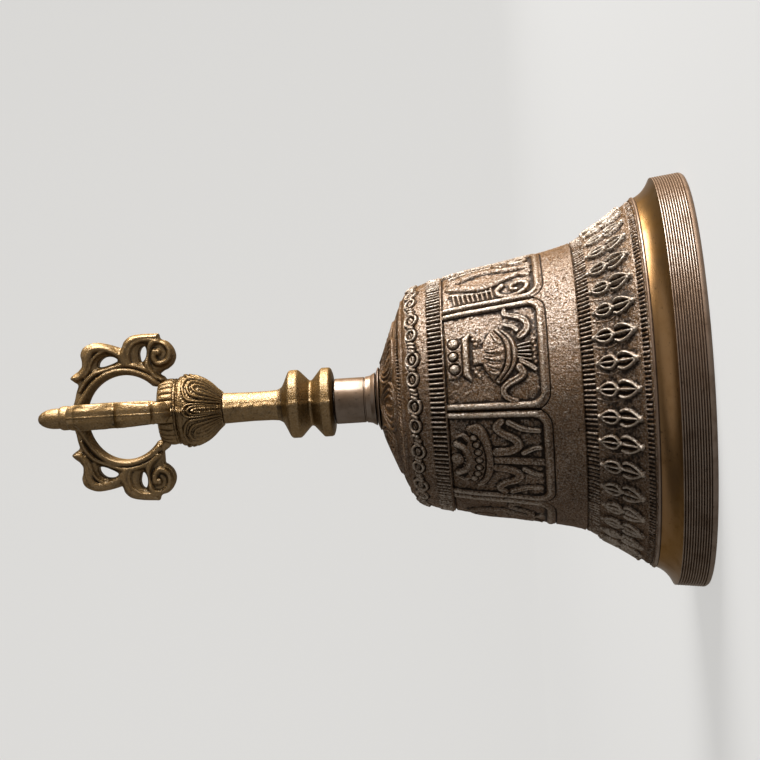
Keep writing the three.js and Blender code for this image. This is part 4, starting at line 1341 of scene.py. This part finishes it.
def make_stem():
    """Knob with two flanges and the neck, one casting with its mould seam left on."""
    profile = [
        (0.0, 87.0), (2.7, 86.8), (2.7, 78.6), (6.3, 78.6), (7.35, 78.95), (7.6, 79.3), (7.6, 81.0),
        (7.3, 81.3), (5.2, 83.1), (5.0, 83.45), (5.0, 83.75), (5.3, 84.1), (7.2, 85.9), (7.5, 86.3),
        (7.5, 88.0), (7.1, 88.45), (5.0, 89.4), (3.9, 90.0), (3.4, 90.9), (3.25, 92.5), (3.2, 96.5),
        (3.3, 100.5), (3.4, 103.1), (0.0, 103.1),
    ]
    longest_step = 0.35
    outline = rounded(profile, 0.3, 3)
    dense = []
    for start, end in zip(outline, outline[1:]):
        steps = max(1, int(math.dist(start, end) / longest_step))
        way = np.array(end) - np.array(start)
        dense += [tuple(np.array(start) + way * i / steps) for i in range(steps)]
    dense.append(profile[-1])
    piece = spun("stem", dense, 216)
    add_seam(piece, SEAM_HEIGHT, SEAM_HALF)
    smooth_shade(piece, 40)
    set_hollow(piece, hollow_of(piece, 24))
    finish_piece(piece, "bell", handle_brass(), ["handle_stem"])


def wrapped(name, radius, height, relief):
    """A solid whose side is a sheet wrapped round the axis, closed by a point at each end."""
    rows, columns = relief.shape
    angles = np.radians(np.arange(columns) * 360.0 / columns)[None, :]
    out_r = radius[:, None] + relief
    side = np.stack([-np.sin(angles) * out_r, -np.cos(angles) * out_r, height[:, None] + 0 * angles], -1)
    poles = [(0, 0, height[0]), (0, 0, height[-1])]
    points = np.vstack([side.reshape(-1, 3), poles])
    index = np.arange(rows * columns).reshape(rows, columns)
    faces = []
    for low, high in zip(index, index[1:]):
        faces.extend(np.column_stack([low, np.roll(low, -1), np.roll(high, -1), high])[:, ::-1].tolist())
    foot, head = rows * columns, rows * columns + 1
    faces.extend([[foot, a, b] for a, b in zip(index[0], np.roll(index[0], -1))])
    faces.extend([[head, b, a] for a, b in zip(index[-1], np.roll(index[-1], -1))])
    piece = new_piece(name, points, faces)
    outward(piece)
    return piece


def lotus_sheet():
    """Radius and height of the lotus rows, and the relief of its petals and of the band over them."""
    line = [
        (103.15, 3.4), (104.2, 4.3), (105.5, 5.6), (107.1, 6.75), (108.9, 7.5), (110.6, 7.75), (111.7, 7.65),
        (112.4, 7.5), (113.4, 7.35),
    ]
    heights = np.linspace(LOTUS_FOOT, BEAD_FOOT, 130)
    radius = profile_at(line, heights)
    columns = 480
    across = np.arange(columns) / columns * 360.0
    sheet = Sheet(across / DEGREES_PER_MM, heights - LOTUS_FOOT, 0.0, True)
    petals = [(0, 11), (41, 26), (90, 24), (139, 26), (180, 11), (221, 26), (270, 24), (319, 26), (360, 11)]
    for centre, reach in petals:
        middle = centre / DEGREES_PER_MM
        for share, tip, crest in ((0.95, 8.2, 0.55), (0.64, 7.1, 0.5), (0.34, 6.0, 0.46)):
            half = reach / DEGREES_PER_MM * share
            side = [(-half * 0.8, 0.2), (-half, 2.6), (-half, tip - 2.0), (-half * 0.74, tip - 0.7), (0, tip)]
            line_up = smooth_line([(middle + x, y) for x, y in side])
            line_down = smooth_line([(middle - x, y) for x, y in side])
            width = 0.36 if reach > 20 else 0.28
            sheet.wire(line_up, width, crest)
            sheet.wire(line_down, width, crest)
        if reach > 20:
            sheet.wire([(middle, 0.6), (middle, 4.6)], 0.42, 0.3, end_width=0.2)
    sheet.height += 0.22 * band_share(sheet.up, 8.6, 9.1, 0.3)[:, None]
    sheet.height -= 0.3 * np.clip(1 - np.abs(sheet.up - 9.75) / 0.25, 0, None)[:, None]
    sheet.sand(0.04, 1, 0.2, 90)
    return radius, heights, sheet.height - 0.12


def make_lotus():
    """Cup of eight petals under a slanting band and a ring of short upright beads."""
    radius, heights, relief = lotus_sheet()
    turns = np.arange(relief.shape[1]) / relief.shape[1]
    bead_rows = 30
    rise = np.linspace(0, 1, bead_rows + 1)[1:]
    bead_height = BEAD_FOOT + (LOTUS_TOP - BEAD_FOOT) * rise
    belly = np.sqrt(np.clip(1 - (2 * rise - 1) ** 2, 0, 1)) ** 0.6
    near = np.abs((turns * LOTUS_BEAD_COUNT + 0.5) % 1.0 - 0.5) / 0.5
    lobe = np.sqrt(np.clip(1 - near**2, 0, 1))
    bead_relief = belly[:, None] * (0.55 + 0.55 * lobe[None, :])
    bead_radius = 6.55 - 0.75 * rise
    piece = wrapped(
        "lotus_cup", np.concatenate([radius, bead_radius]), np.concatenate([heights, bead_height]),
        np.vstack([relief, bead_relief]),
    )
    add_seam(piece, 1.5 * SEAM_HEIGHT, SEAM_HALF)
    smooth_shade(piece, 60)
    set_hollow(piece, hollow_of(piece, 16))
    finish_piece(piece, "bell", handle_brass(), ["lotus_base"])


class ProngPlan:
    """Where the lines of a prong run; hand-bent castings lean and bulge a little differently."""

    def __init__(self, lean=1.0, bulge=0.0):
        self.lean = lean
        self.bulge = bulge

    def at(self, degrees, out):
        """Degrees from the tip round the ring's centre, and millimetres out from the ring's inside."""
        angle = math.radians(degrees * self.lean)
        distance = RING_INNER + out + self.bulge * math.sin(angle) ** 2
        return distance * math.sin(angle), RING_CENTRE + distance * math.cos(angle)

    def line(self, points, steps=6):
        return smooth_line([self.at(*point) for point in points], steps)

    def outline(self):
        """The flat side: foot, inner curve, tip end, beak, scroll, leaf and volute."""
        foot = LOTUS_TOP - 2.4
        end_in = 1.9
        inner_end = math.sqrt(RING_INNER**2 - end_in**2)
        stretches = [
            [(20, 3.05), (28, 3.3), (33.5, 3.5), (35.6, 3.8)],
            [(35.4, 4.8), (36.2, 5.95), (40.6, 5.85), (45, 5.55), (48.7, 5.55)],
            [(51, 5.7), (54, 6.7), (56, 7.85), (60, 8.7), (65, 8.8), (71.5, 8.35), (80.5, 7.05), (89.5, 5.9)],
            [(90.6, 6.4), (92.5, 7.5), (97, 8.6), (104, 9.3), (112.5, 10.15), (115.5, 10.5), (117, 9.9)],
            [(118.9, 9.6), (123.5, 9.85), (129, 9.4), (134, 8.3), (136.5, 6.7), (136, 5.1), (134.5, 4.3)],
        ]
        outline = [(end_in, BOSS_TOP - 0.2)]
        for stretch in stretches:
            outline += [tuple(place) for place in self.line(stretch)]
        first = math.degrees(math.atan2(5.9, LOTUS_TOP - 0.4 - RING_CENTRE))
        last = math.degrees(math.atan2(end_in, inner_end))
        inner = [self.at(degrees / self.lean, 0.0) for degrees in np.linspace(first, last, 60)[3:]]
        return outline + [(8.5, LOTUS_TOP - 0.3), (7.8, foot + 1.0), (6.4, foot), (5.4, foot + 1.2)] + inner

    def holes(self):
        """The almond-shaped opening in the scroll and the small one in the leaf."""
        eye = self.line([
            (63, 3.4), (66, 4.2), (71, 4.7), (76, 4.7), (82, 4.2), (85.5, 3.4), (82, 3.0), (76, 2.8),
            (68, 2.9), (63, 3.4)])
        leaf = self.line([
            (108, 3.9), (106, 5.2), (106.6, 6.4), (109, 7.0), (111.5, 6.3), (113, 5.0), (112.3, 3.8),
            (110, 3.4), (108, 3.9)])
        return [eye[:-1], leaf[:-1]]

    def relief(self):
        """A sheet over the flat side with what the strokes add to the half thickness."""
        sheet = Sheet(np.arange(1.0, 21.0, 0.08), np.arange(LOTUS_FOOT + 8.0, BOSS_TOP + 1.0, 0.08), -0.45)
        for points, width, crest in PRONG_STROKES:
            sheet.wire(self.line(points, 8), width, crest)
        sheet.ball(self.at(121.5, 6.9), 0.8, 0.3)
        sheet.soften(1)
        return sheet


PRONG_STROKES = [
    ([(141, 1.0), (120, 0.75), (96, 0.75), (73, 0.8), (52, 0.8), (32, 0.9), (15, 1.6)], 0.85, 0.3),
    ([(140, 2.6), (120, 2.2), (106, 2.2), (91, 2.2), (76, 2.1), (60, 2.4), (46, 2.6), (31, 2.6)], 0.55, 0.12),
    ([(87, 3.6), (80, 5.9), (72, 7.1), (65, 7.2), (58, 5.9), (52, 4.9), (44, 4.4), (37, 5.4)], 0.85, 0.25),
    ([(91, 3.9), (84, 5.4), (77, 6.0), (68, 5.8), (61, 5.0), (55, 4.0), (46, 3.6)], 0.4, 0.05),
    ([(93, 2.4), (91.5, 4.4), (94.5, 6.7), (100, 8.2), (108, 9.3), (116, 10.2)], 0.75, 0.25),
    ([(98, 2.6), (96.5, 4.4), (98.5, 6.3), (103, 7.6), (109, 8.4), (114, 8.9)], 0.5, 0.12),
    ([(134, 2.1), (122, 2.6), (114.5, 4.3), (113, 6.6), (115, 8.6), (121, 9.4), (128, 8.7), (131.5, 6.6),
      (127, 4.8), (121, 5.2), (118.5, 6.6)], 0.65, 0.25),
]


def sampled(sheet, x, y):
    """The sheet's height at scattered places."""
    column = (x - sheet.across[0]) / (sheet.across[1] - sheet.across[0])
    row = (y - sheet.up[0]) / (sheet.up[1] - sheet.up[0])
    column = np.clip(column, 0, len(sheet.across) - 1.001)
    row = np.clip(row, 0, len(sheet.up) - 1.001)
    left, low = column.astype(int), row.astype(int)
    right_share, up_share = column - left, row - low
    height = sheet.height
    under = height[low, left] * (1 - right_share) + height[low, left + 1] * right_share
    over = height[low + 1, left] * (1 - right_share) + height[low + 1, left + 1] * right_share
    return under * (1 - up_share) + over * up_share


def edge_distance(loops, x, y):
    """Distance of scattered places from the nearest outline."""
    nearest = np.full(len(x), np.inf)
    for loop in loops:
        for (x0, y0), (x1, y1) in zip(loop, np.roll(loop, -1, axis=0)):
            length = (x1 - x0) ** 2 + (y1 - y0) ** 2
            along = np.clip(((x - x0) * (x1 - x0) + (y - y0) * (y1 - y0)) / max(length, 1e-12), 0, 1)
            nearest = np.minimum(nearest, np.hypot(x - x0 - along * (x1 - x0), y - y0 - along * (y1 - y0)))
    return nearest


def flat_slab(name, loops, half):
    """A slab cut to an outline with holes, lying in the XZ plane."""
    curve = bpy.data.curves.new(name, "CURVE")
    curve.dimensions = "2D"
    curve.fill_mode = "BOTH"
    curve.extrude = half * MM
    for loop in loops:
        spline = curve.splines.new("POLY")
        spline.points.add(len(loop) - 1)
        for point, (x, y) in zip(spline.points, loop):
            point.co = (x * MM, y * MM, 0.0, 1.0)
        spline.use_cyclic_u = True
    piece = bpy.data.objects.new(name, curve)
    bpy.context.collection.objects.link(piece)
    pick(piece)
    bpy.ops.object.convert(target="MESH")
    piece = bpy.context.object
    places = places_of(piece)
    set_places(piece, np.column_stack([places[:, 0], -places[:, 2], places[:, 1]]))
    outward(piece)
    return piece


def prong_mesh(name, plan):
    """A prong carved from a slab: rounded towards its outline, with the strokes raised on its sides."""
    loops = [np.array(plan.outline())] + [np.array(hole) for hole in plan.holes()]
    piece = merged(name, [flat_slab(name, loops, PRONG_HALF)], 0.15, 2)
    places = places_of(piece)
    x, z = places[:, 0], places[:, 2]
    near = edge_distance(loops, x, z)
    rounding = 1.3
    edge_share = 0.42
    bend = np.sqrt(np.clip(1 - (1 - np.clip(near / rounding, 0, 1)) ** 2, 0, 1))
    swell = np.interp(z, [LOTUS_TOP, LOTUS_TOP + 5, BOSS_TOP - 4, BOSS_TOP], [2.1, 2.5, 2.6, 2.45])
    strokes = sampled(plan.relief(), x, z) * np.clip(near / 0.4, 0, 1)
    half = swell * (edge_share + (1 - edge_share) * bend) + strokes
    side = places[:, 1] / PRONG_HALF
    seam = 0.12 * np.exp(-(places[:, 1] / 0.4) ** 2) * (near < 0.2)
    places[:, 1] = side * half
    out = np.hypot(x, z - RING_CENTRE)
    places[:, 0] += seam * x / out
    places[:, 2] += seam * (z - RING_CENTRE) / out
    set_places(piece, places)
    relax = piece.modifiers.new("soft", "SMOOTH")
    relax.factor = 0.5
    relax.iterations = 2
    apply_modifiers(piece)
    set_hollow(piece, hollow_of(piece, 22))
    return piece


def turned_copy(piece, name, quarter):
    """A copy with its own mesh, turned by quarters round the axis."""
    x, y, z = places_of(piece).T
    if name != piece.name:
        piece = bpy.data.objects.new(name, piece.data.copy())
        piece.data.name = name
        bpy.context.collection.objects.link(piece)
    cos, sin = ((1, 0), (0, 1), (-1, 0), (0, -1))[quarter]
    set_places(piece, np.column_stack([x * cos - y * sin, x * sin + y * cos, z]))
    return piece


def make_prongs():
    """Four scrolled prongs; the one on the far side from the key lamp was bent out a little more."""
    even = prong_mesh("prong_a", ProngPlan())
    bent = prong_mesh("prong_c", ProngPlan(0.935, 1.2))
    pieces = [
        turned_copy(even, "prong_b", 1),
        turned_copy(bent, "prong_c", 2),
        turned_copy(even, "prong_d", 3),
        even,
    ]
    for piece, number in zip(pieces, (2, 3, 4, 1)):
        finish_piece(piece, "bell", handle_brass(), [f"prong_{number}"])


def make_centre_prong():
    """Waisted shaft, the square boss that joins the prongs, and the bullet-shaped tip."""
    foot = LOTUS_TOP + 0.05
    shaft = [
        (0.0, foot), (2.6, foot), (2.7, foot + 0.6), (2.4, foot + 1.3), (1.9, foot + 2.2), (1.45, foot + 5.0),
        (1.35, foot + 8.5), (1.6, foot + 12.0), (2.2, foot + 15.6), (2.3, BOSS_TOP - 1.0),
        (2.3, BOSS_TOP + 0.1), (2.55, BOSS_TOP + 0.4), (2.7, BOSS_TOP + 0.9), (2.7, BOSS_TOP + 2.2),
        (2.5, BOSS_TOP + 2.7), (2.25, BOSS_TOP + 2.9), (2.3, BOSS_TOP + 3.4), (2.25, BOSS_TOP + 4.6),
        (2.0, BOSS_TOP + 5.8), (1.5, BOSS_TOP + 6.9), (0.8, BOSS_TOP + 7.65), (0.0, TIP_TOP),
    ]
    turned_part = spun("centre_shaft", rounded(shaft, 0.25), 96)
    pick_nothing()
    bpy.ops.mesh.primitive_cube_add(size=4.3 * MM, location=(0, 0, 0))
    boss = bpy.context.object
    places = places_of(boss)
    places[:, 2] = places[:, 2] * 0.8 + BOSS_TOP - 1.95
    set_places(boss, places)
    piece = merged("centre_shaft", [turned_part, boss], 0.14, 3)
    set_hollow(piece, hollow_of(piece, 16))
    finish_piece(piece, "bell", handle_brass(), ["centre_prong"])


# Fittings inside the bell

NUT_TOP = 62.6
NUT_FOOT = 59.0
EYE_CENTRE = 52.95
LINK_TOP = 52.2
CLAPPER_PIVOT = 42.15
CLAPPER_EYE_CENTRE = 41.45
BOB_TOP = 15.1


def make_bolt():
    """Eye bolt with its forged eye, washer and chamfered nut under the crown."""
    shank = spun("eye_and_bolt", rounded([
        (0.0, EYE_CENTRE + 3.0), (1.4, EYE_CENTRE + 3.1), (2.0, EYE_CENTRE + 4.2), (2.4, NUT_FOOT - 0.6),
        (2.4, 86.6), (2.0, 87.0), (0.0, 87.0)], 0.3), 48)
    piece = merged("eye_and_bolt", [shank, torus("eye", 3.4, 1.25, EYE_CENTRE)], 0.22, 3)
    set_hollow(piece, hollow_of(piece, 10))
    finish_piece(piece, "bell", dark_iron(), ["eye_bolt"])
    washer = [(BOLT_HOLE, 62.9), (7.0, 62.9), (7.0, 64.1), (BOLT_HOLE, 64.1), (BOLT_HOLE, 62.9)]
    piece = spun("washer", rounded(washer, 0.2), 96)
    smooth_shade(piece, 35)
    set_hollow(piece, hollow_of(piece, 2))
    finish_piece(piece, "bell", dark_iron(), ["crown_washer"])
    pick_nothing()
    thickness = (NUT_TOP - NUT_FOOT) * MM
    bpy.ops.mesh.primitive_cylinder_add(vertices=6, radius=4.85 * MM, depth=thickness, location=(0, 0, 0))
    nut = bpy.context.object
    nut.name = "nut"
    bpy.ops.mesh.primitive_cylinder_add(vertices=48, radius=BOLT_HOLE * MM, depth=6 * MM, location=(0, 0, 0))
    drill = bpy.context.object
    hole = nut.modifiers.new("hole", "BOOLEAN")
    hole.operation = "DIFFERENCE"
    hole.object = drill
    hole.solver = "EXACT"
    edge = nut.modifiers.new("edge", "BEVEL")
    edge.width = 0.35 * MM
    edge.segments = 2
    apply_modifiers(nut)
    bpy.data.objects.remove(drill)
    places = places_of(nut)
    places[:, 2] += (NUT_TOP + NUT_FOOT) / 2
    set_places(nut, places)
    smooth_shade(nut, 35)
    set_hollow(nut, hollow_of(nut, 2))
    finish_piece(nut, "bell", dark_iron(), ["lock_nut"])


def make_clapper():
    """Link, rod with its own eye, and the turned bob with a nub."""
    link = torus("long_link", 2.8, 0.9, 0.0)
    places = places_of(link)
    straight = (LINK_TOP - CLAPPER_PIVOT) / 2 - 2.8
    places[:, 2] += np.where(places[:, 2] > 0, straight, -straight)
    places[:, 2] += (LINK_TOP + CLAPPER_PIVOT) / 2
    set_places(link, np.column_stack([-places[:, 1], places[:, 0], places[:, 2]]))
    smooth_shade(link, 50)
    set_hollow(link, hollow_of(link, 6))
    finish_piece(link, "link", dark_iron(), ["clapper_link"])
    eye = torus("rod_eye", 3.2, 1.1, CLAPPER_EYE_CENTRE)
    neck = CLAPPER_EYE_CENTRE - 3.2
    rod = spun("rod_and_eye", rounded([
        (0.0, BOB_TOP - 4.2), (1.9, BOB_TOP - 4.2), (1.9, BOB_TOP + 2), (1.7, (BOB_TOP + neck) / 2),
        (1.5, neck - 2.4), (1.7, neck - 1.4), (1.2, neck + 0.2), (0.0, neck + 0.2)], 0.25), 48)
    piece = merged("rod_and_eye", [rod, eye], 0.2, 3)
    set_hollow(piece, hollow_of(piece, 10))
    finish_piece(piece, "clapper", dark_iron(), ["clapper_rod"])
    bob = [
        (0.0, 1.2), (0.9, 1.35), (1.55, 1.9), (1.8, 2.7), (1.7, 3.6), (1.5, 4.2), (2.6, 4.6), (4.2, 5.6),
        (5.3, 6.9), (5.6, 8.1), (5.35, 9.4), (4.6, 10.9), (3.6, 12.3), (2.8, 13.6), (3.1, 13.9), (3.2, 14.2),
        (3.2, 14.9), (3.0, BOB_TOP),
        (2.2, BOB_TOP), (2.2, BOB_TOP - 4.5), (0.0, BOB_TOP - 4.5),
    ]
    piece = spun("bob", rounded(bob, 0.3), 128)
    smooth_shade(piece, 40)
    finish_piece(piece, "clapper", bob_brass(), ["clapper_bob"])


# Stage

STUDIO_FLAT = 2400.0
STUDIO_BEND = 900.0
STUDIO_HEIGHT = 3500.0
SENSOR_WIDTH = 36.0
LENS = 94.74
CAMERA_PLACE = (0.0041, -0.4394, 0.0429)
CAMERA_RIGHT = (-0.06279, 0.05745, -0.99637)
CAMERA_UP = (0.99802, 0.00361, -0.06269)
NEAR_GLOW = 0.86
PAPER_BASE = 0.1


def paper_finish(tone, glow):
    """Pale paper that takes shadows; camera, glossy and transmission rays also see an even glow on it."""
    paint = Paint("studio_paper")
    x, y, _ = paint.axes()
    far = paint.mask((x * x + y * y) ** 0.5, 0.2, 2.6)
    paint.finish(tint(tone, PAPER_BASE), 0.0, 0.9)
    rays = paint.tree.nodes.new("ShaderNodeLightPath").outputs
    seen = Value(paint, rays["Is Camera Ray"]) + Value(paint, rays["Is Glossy Ray"])
    seen = seen + Value(paint, rays["Is Transmission Ray"])
    light = paint.mix(far, tint(tone, NEAR_GLOW * glow), tint(tone, glow))
    paint.feed(paint.shader.inputs["Emission Color"], paint.mix(seen, (0.0, 0.0, 0.0), light))
    paint.shader.inputs["Emission Strength"].default_value = 1.0
    return paint.material


def make_studio():
    """A seamless pale bowl, soft lamps and the camera."""
    studio = bpy.context.scene.bell_studio
    tone = tuple(studio.paper)
    floor_profile = [(0.0, 0.0), (STUDIO_FLAT, 0.0)]
    bend_steps = 12
    for i in range(1, bend_steps + 1):
        turn = math.radians(90 * i / bend_steps)
        floor_profile.append((STUDIO_FLAT + STUDIO_BEND * math.sin(turn), STUDIO_BEND * (1 - math.cos(turn))))
    wall = STUDIO_FLAT + STUDIO_BEND
    floor_profile.append((wall, STUDIO_HEIGHT))
    outer = [(wall + 10.0, STUDIO_HEIGHT), (wall + 10.0, -10.0), (0.0, -10.0)]
    floor = spun("studio_floor", floor_profile + outer, 96)
    smooth_shade(floor, 40)
    floor.data.materials.append(paper_finish(tone, studio.glow))
    lamps = [
        ("key", (1.8, 0.1, 0.5), (1.9, 1.3), studio.key),
        ("side", (1.6, -0.65, 0.12), (0.8, 0.5), studio.side),
        ("top", (0.3, -0.2, 2.0), (2.0, 2.0), studio.top),
        ("fill", (-1.2, -1.5, 0.6), (1.4, 1.4), studio.fill),
    ]
    for name, place, size, power in lamps:
        light = bpy.data.lights.new(name, "AREA")
        light.shape = "ELLIPSE"
        light.size, light.size_y = size
        light.energy = power
        lamp = bpy.data.objects.new(name, light)
        bpy.context.collection.objects.link(lamp)
        lamp.location = place
        lamp.rotation_euler = (Vector((0, 0, 0.06)) - Vector(place)).to_track_quat("-Z", "Y").to_euler()
        lamp.visible_camera = False
    world = bpy.context.scene.world or bpy.data.worlds.new("studio_world")
    bpy.context.scene.world = world
    world.use_nodes = True
    backdrop = world.node_tree.nodes["Background"]
    backdrop.inputs["Color"].default_value = (*tone, 1.0)
    backdrop.inputs["Strength"].default_value = studio.surround
    bpy.context.scene.view_settings.view_transform = "Standard"
    place_camera()


def place_camera():
    """The photo's viewpoint: a long lens, turned so that the bell's axis lies across the picture."""
    camera = bpy.data.cameras.new("photo_camera")
    camera.sensor_width = SENSOR_WIDTH
    camera.lens = LENS
    holder = bpy.data.objects.new("photo_camera", camera)
    bpy.context.collection.objects.link(holder)
    right = Vector(CAMERA_RIGHT).normalized()
    up = Vector(CAMERA_UP).normalized()
    back = right.cross(up).normalized()
    up = back.cross(right)
    turn = Matrix((right, up, back)).transposed().to_4x4()
    holder.matrix_world = Matrix.Translation(CAMERA_PLACE) @ turn
    bpy.context.scene.camera = holder


# Add-on

class BellFinish(bpy.types.PropertyGroup):
    bronze: FloatVectorProperty(
        name="Wall bronze", description="Cast wall where it is neither worn nor dark", subtype="COLOR",
        size=3, min=0, max=1, default=(0.06, 0.026, 0.005))
    patina_and_groove_shade: FloatVectorProperty(
        # Dark tone of the recesses: real oxide there, and painted shade in the deep grooves
        name="Patina", description="Dirt and oxide in the recesses", subtype="COLOR",
        size=3, min=0, max=1, default=(0.010, 0.0065, 0.0045))
    rubbed: FloatVectorProperty(
        name="Rubbed edges", description="Raised edges that hands keep bright", subtype="COLOR",
        size=3, min=0, max=1, default=(0.2, 0.15, 0.1))
    rim: FloatVectorProperty(
        name="Turned rim", description="Grooved band at the mouth", subtype="COLOR",
        size=3, min=0, max=1, default=(0.108, 0.066, 0.04))
    cove: FloatVectorProperty(
        name="Cove", description="Smooth hollow over the rim", subtype="COLOR",
        size=3, min=0, max=1, default=(0.125, 0.064, 0.021))
    brass: FloatVectorProperty(
        name="Handle brass", description="Cast brass of the handle", subtype="COLOR",
        size=3, min=0, max=1, default=(0.108, 0.058, 0.016))
    ferrule: FloatVectorProperty(
        name="Ferrule", description="Pinkish silver tube under the knob", subtype="COLOR",
        size=3, min=0, max=1, default=(0.075, 0.044, 0.024))
    iron: FloatVectorProperty(
        name="Iron", description="Forged fittings inside the bell", subtype="COLOR",
        size=3, min=0, max=1, default=(0.06, 0.05, 0.043))


class BellStudio(bpy.types.PropertyGroup):
    paper: FloatVectorProperty(
        name="Paper", description="Floor and backdrop", subtype="COLOR",
        size=3, min=0, max=1, default=(0.8, 0.79, 0.77))
    glow: FloatProperty(
        name="Paper glow", description="Even light of the paper as camera and metal see it",
        min=0, default=0.8)
    key: FloatProperty(name="Key lamp", description="Soft main lamp", subtype="POWER", min=0, default=235.0)
    side: FloatProperty(
        name="Side lamp", description="Low lamp between key and camera", subtype="POWER", min=0, default=28.0)
    top: FloatProperty(
        name="Top lamp", description="Lamp over the handle", subtype="POWER", min=0, default=11.0)
    fill: FloatProperty(
        name="Fill lamp", description="Weak lamp beside the camera", subtype="POWER", min=0, default=0.6)
    surround: FloatProperty(
        name="Surround", description="Light from the open top of the studio", min=0, default=0.18)


def built(*names):
    """Ends an operator; stops it with an error when a piece is missing or has no faces."""
    for name in names:
        piece = bpy.data.objects.get(name)
        if piece is None or not len(piece.data.polygons):
            raise RuntimeError(f"{name} was not made")
    return {"FINISHED"}


class BELL_OT_core(bpy.types.Operator):
    """Cast body with its lip, grooved rim, cove and smooth inside"""
    bl_idname = "hand_bell.core"
    bl_label = "Core"

    def execute(self, context):
        make_core()
        return built("bell_core")


class BELL_OT_fence(bpy.types.Operator):
    """Flared band of small standing vajras between two hatched rings"""
    bl_idname = "hand_bell.fence"
    bl_label = "Fence"

    def execute(self, context):
        make_fence()
        return built("fence_1", "fence_2", "fence_3")


class BELL_OT_waist(bpy.types.Operator):
    """Plain sandy band over the fence"""
    bl_idname = "hand_bell.waist"
    bl_label = "Waist"

    def execute(self, context):
        make_waist()
        return built("waist_band")


class BELL_OT_panels(bpy.types.Operator):
    """Eight framed panels with the traditional lucky signs"""
    bl_idname = "hand_bell.panels"
    bl_label = "Panels"

    def execute(self, context):
        make_panels()
        return built(*[f"panel_{i + 1}" for i in range(PANEL_COUNT)])


class BELL_OT_shoulder(bpy.types.Operator):
    """Bar band, chain of lying vajras and petalled crown"""
    bl_idname = "hand_bell.shoulder"
    bl_label = "Shoulder and crown"

    def execute(self, context):
        make_bar_band()
        make_shoulder()
        make_crown()
        return built("bar_band", "shoulder_band", "crown_relief")


class BELL_OT_mount(bpy.types.Operator):
    """Collar and ferrule between the crown and the handle"""
    bl_idname = "hand_bell.mount"
    bl_label = "Collar and ferrule"

    def execute(self, context):
        make_mount()
        return built("collar", "ferrule_tube")


class BELL_OT_stem(bpy.types.Operator):
    """Flanged knob and neck of the handle"""
    bl_idname = "hand_bell.stem"
    bl_label = "Stem"

    def execute(self, context):
        make_stem()
        return built("stem")


class BELL_OT_lotus(bpy.types.Operator):
    """Petalled cup with a ring of beads"""
    bl_idname = "hand_bell.lotus"
    bl_label = "Lotus"

    def execute(self, context):
        make_lotus()
        return built("lotus_cup")


class BELL_OT_prongs(bpy.types.Operator):
    """Four scrolled prongs and the centre prong with its tip"""
    bl_idname = "hand_bell.prongs"
    bl_label = "Prongs"

    def execute(self, context):
        make_prongs()
        make_centre_prong()
        return built("prong_a", "prong_b", "prong_c", "prong_d", "centre_shaft")


class BELL_OT_bolt(bpy.types.Operator):
    """Eye bolt, washer and nut under the crown"""
    bl_idname = "hand_bell.bolt"
    bl_label = "Eye bolt"

    def execute(self, context):
        make_bolt()
        return built("eye_and_bolt", "washer", "nut")


class BELL_OT_clapper(bpy.types.Operator):
    """Link, rod and bob that swing inside the bell"""
    bl_idname = "hand_bell.clapper"
    bl_label = "Clapper"

    def execute(self, context):
        make_clapper()
        return built("long_link", "rod_and_eye", "bob")


class BELL_OT_studio(bpy.types.Operator):
    """Pale seamless floor, soft lamps and the camera"""
    bl_idname = "hand_bell.studio"
    bl_label = "Studio"

    def execute(self, context):
        make_studio()
        return built("studio_floor")


PIECE_OPERATORS = [
    BELL_OT_core, BELL_OT_fence, BELL_OT_waist, BELL_OT_panels, BELL_OT_shoulder, BELL_OT_mount, BELL_OT_stem,
    BELL_OT_lotus, BELL_OT_prongs, BELL_OT_bolt, BELL_OT_clapper, BELL_OT_studio,
]


class BELL_PT_build(bpy.types.Panel):
    bl_label = "Ritual Hand Bell"
    bl_idname = "BELL_PT_build"
    bl_space_type = "VIEW_3D"
    bl_region_type = "UI"
    bl_category = "Hand Bell"

    def draw(self, context):
        layout = self.layout
        for name in BellFinish.__annotations__:
            layout.prop(context.scene.bell_finish, name)
        for name in BellStudio.__annotations__:
            layout.prop(context.scene.bell_studio, name)
        for operator in PIECE_OPERATORS:
            layout.operator(operator.bl_idname)


CLASSES = [BellFinish, BellStudio, *PIECE_OPERATORS, BELL_PT_build]


def register():
    for kind in CLASSES:
        bpy.utils.register_class(kind)
    bpy.types.Scene.bell_finish = PointerProperty(type=BellFinish)
    bpy.types.Scene.bell_studio = PointerProperty(type=BellStudio)


def unregister():
    del bpy.types.Scene.bell_studio
    del bpy.types.Scene.bell_finish
    for kind in reversed(CLASSES):
        bpy.utils.unregister_class(kind)


def main():
    register()
    bpy.ops.hand_bell.core()
    bpy.ops.hand_bell.fence()
    bpy.ops.hand_bell.waist()
    bpy.ops.hand_bell.panels()
    bpy.ops.hand_bell.shoulder()
    bpy.ops.hand_bell.mount()
    bpy.ops.hand_bell.stem()
    bpy.ops.hand_bell.lotus()
    bpy.ops.hand_bell.prongs()
    bpy.ops.hand_bell.bolt()
    bpy.ops.hand_bell.clapper()
    bpy.ops.hand_bell.studio()


if __name__ == "__main__":
    main()
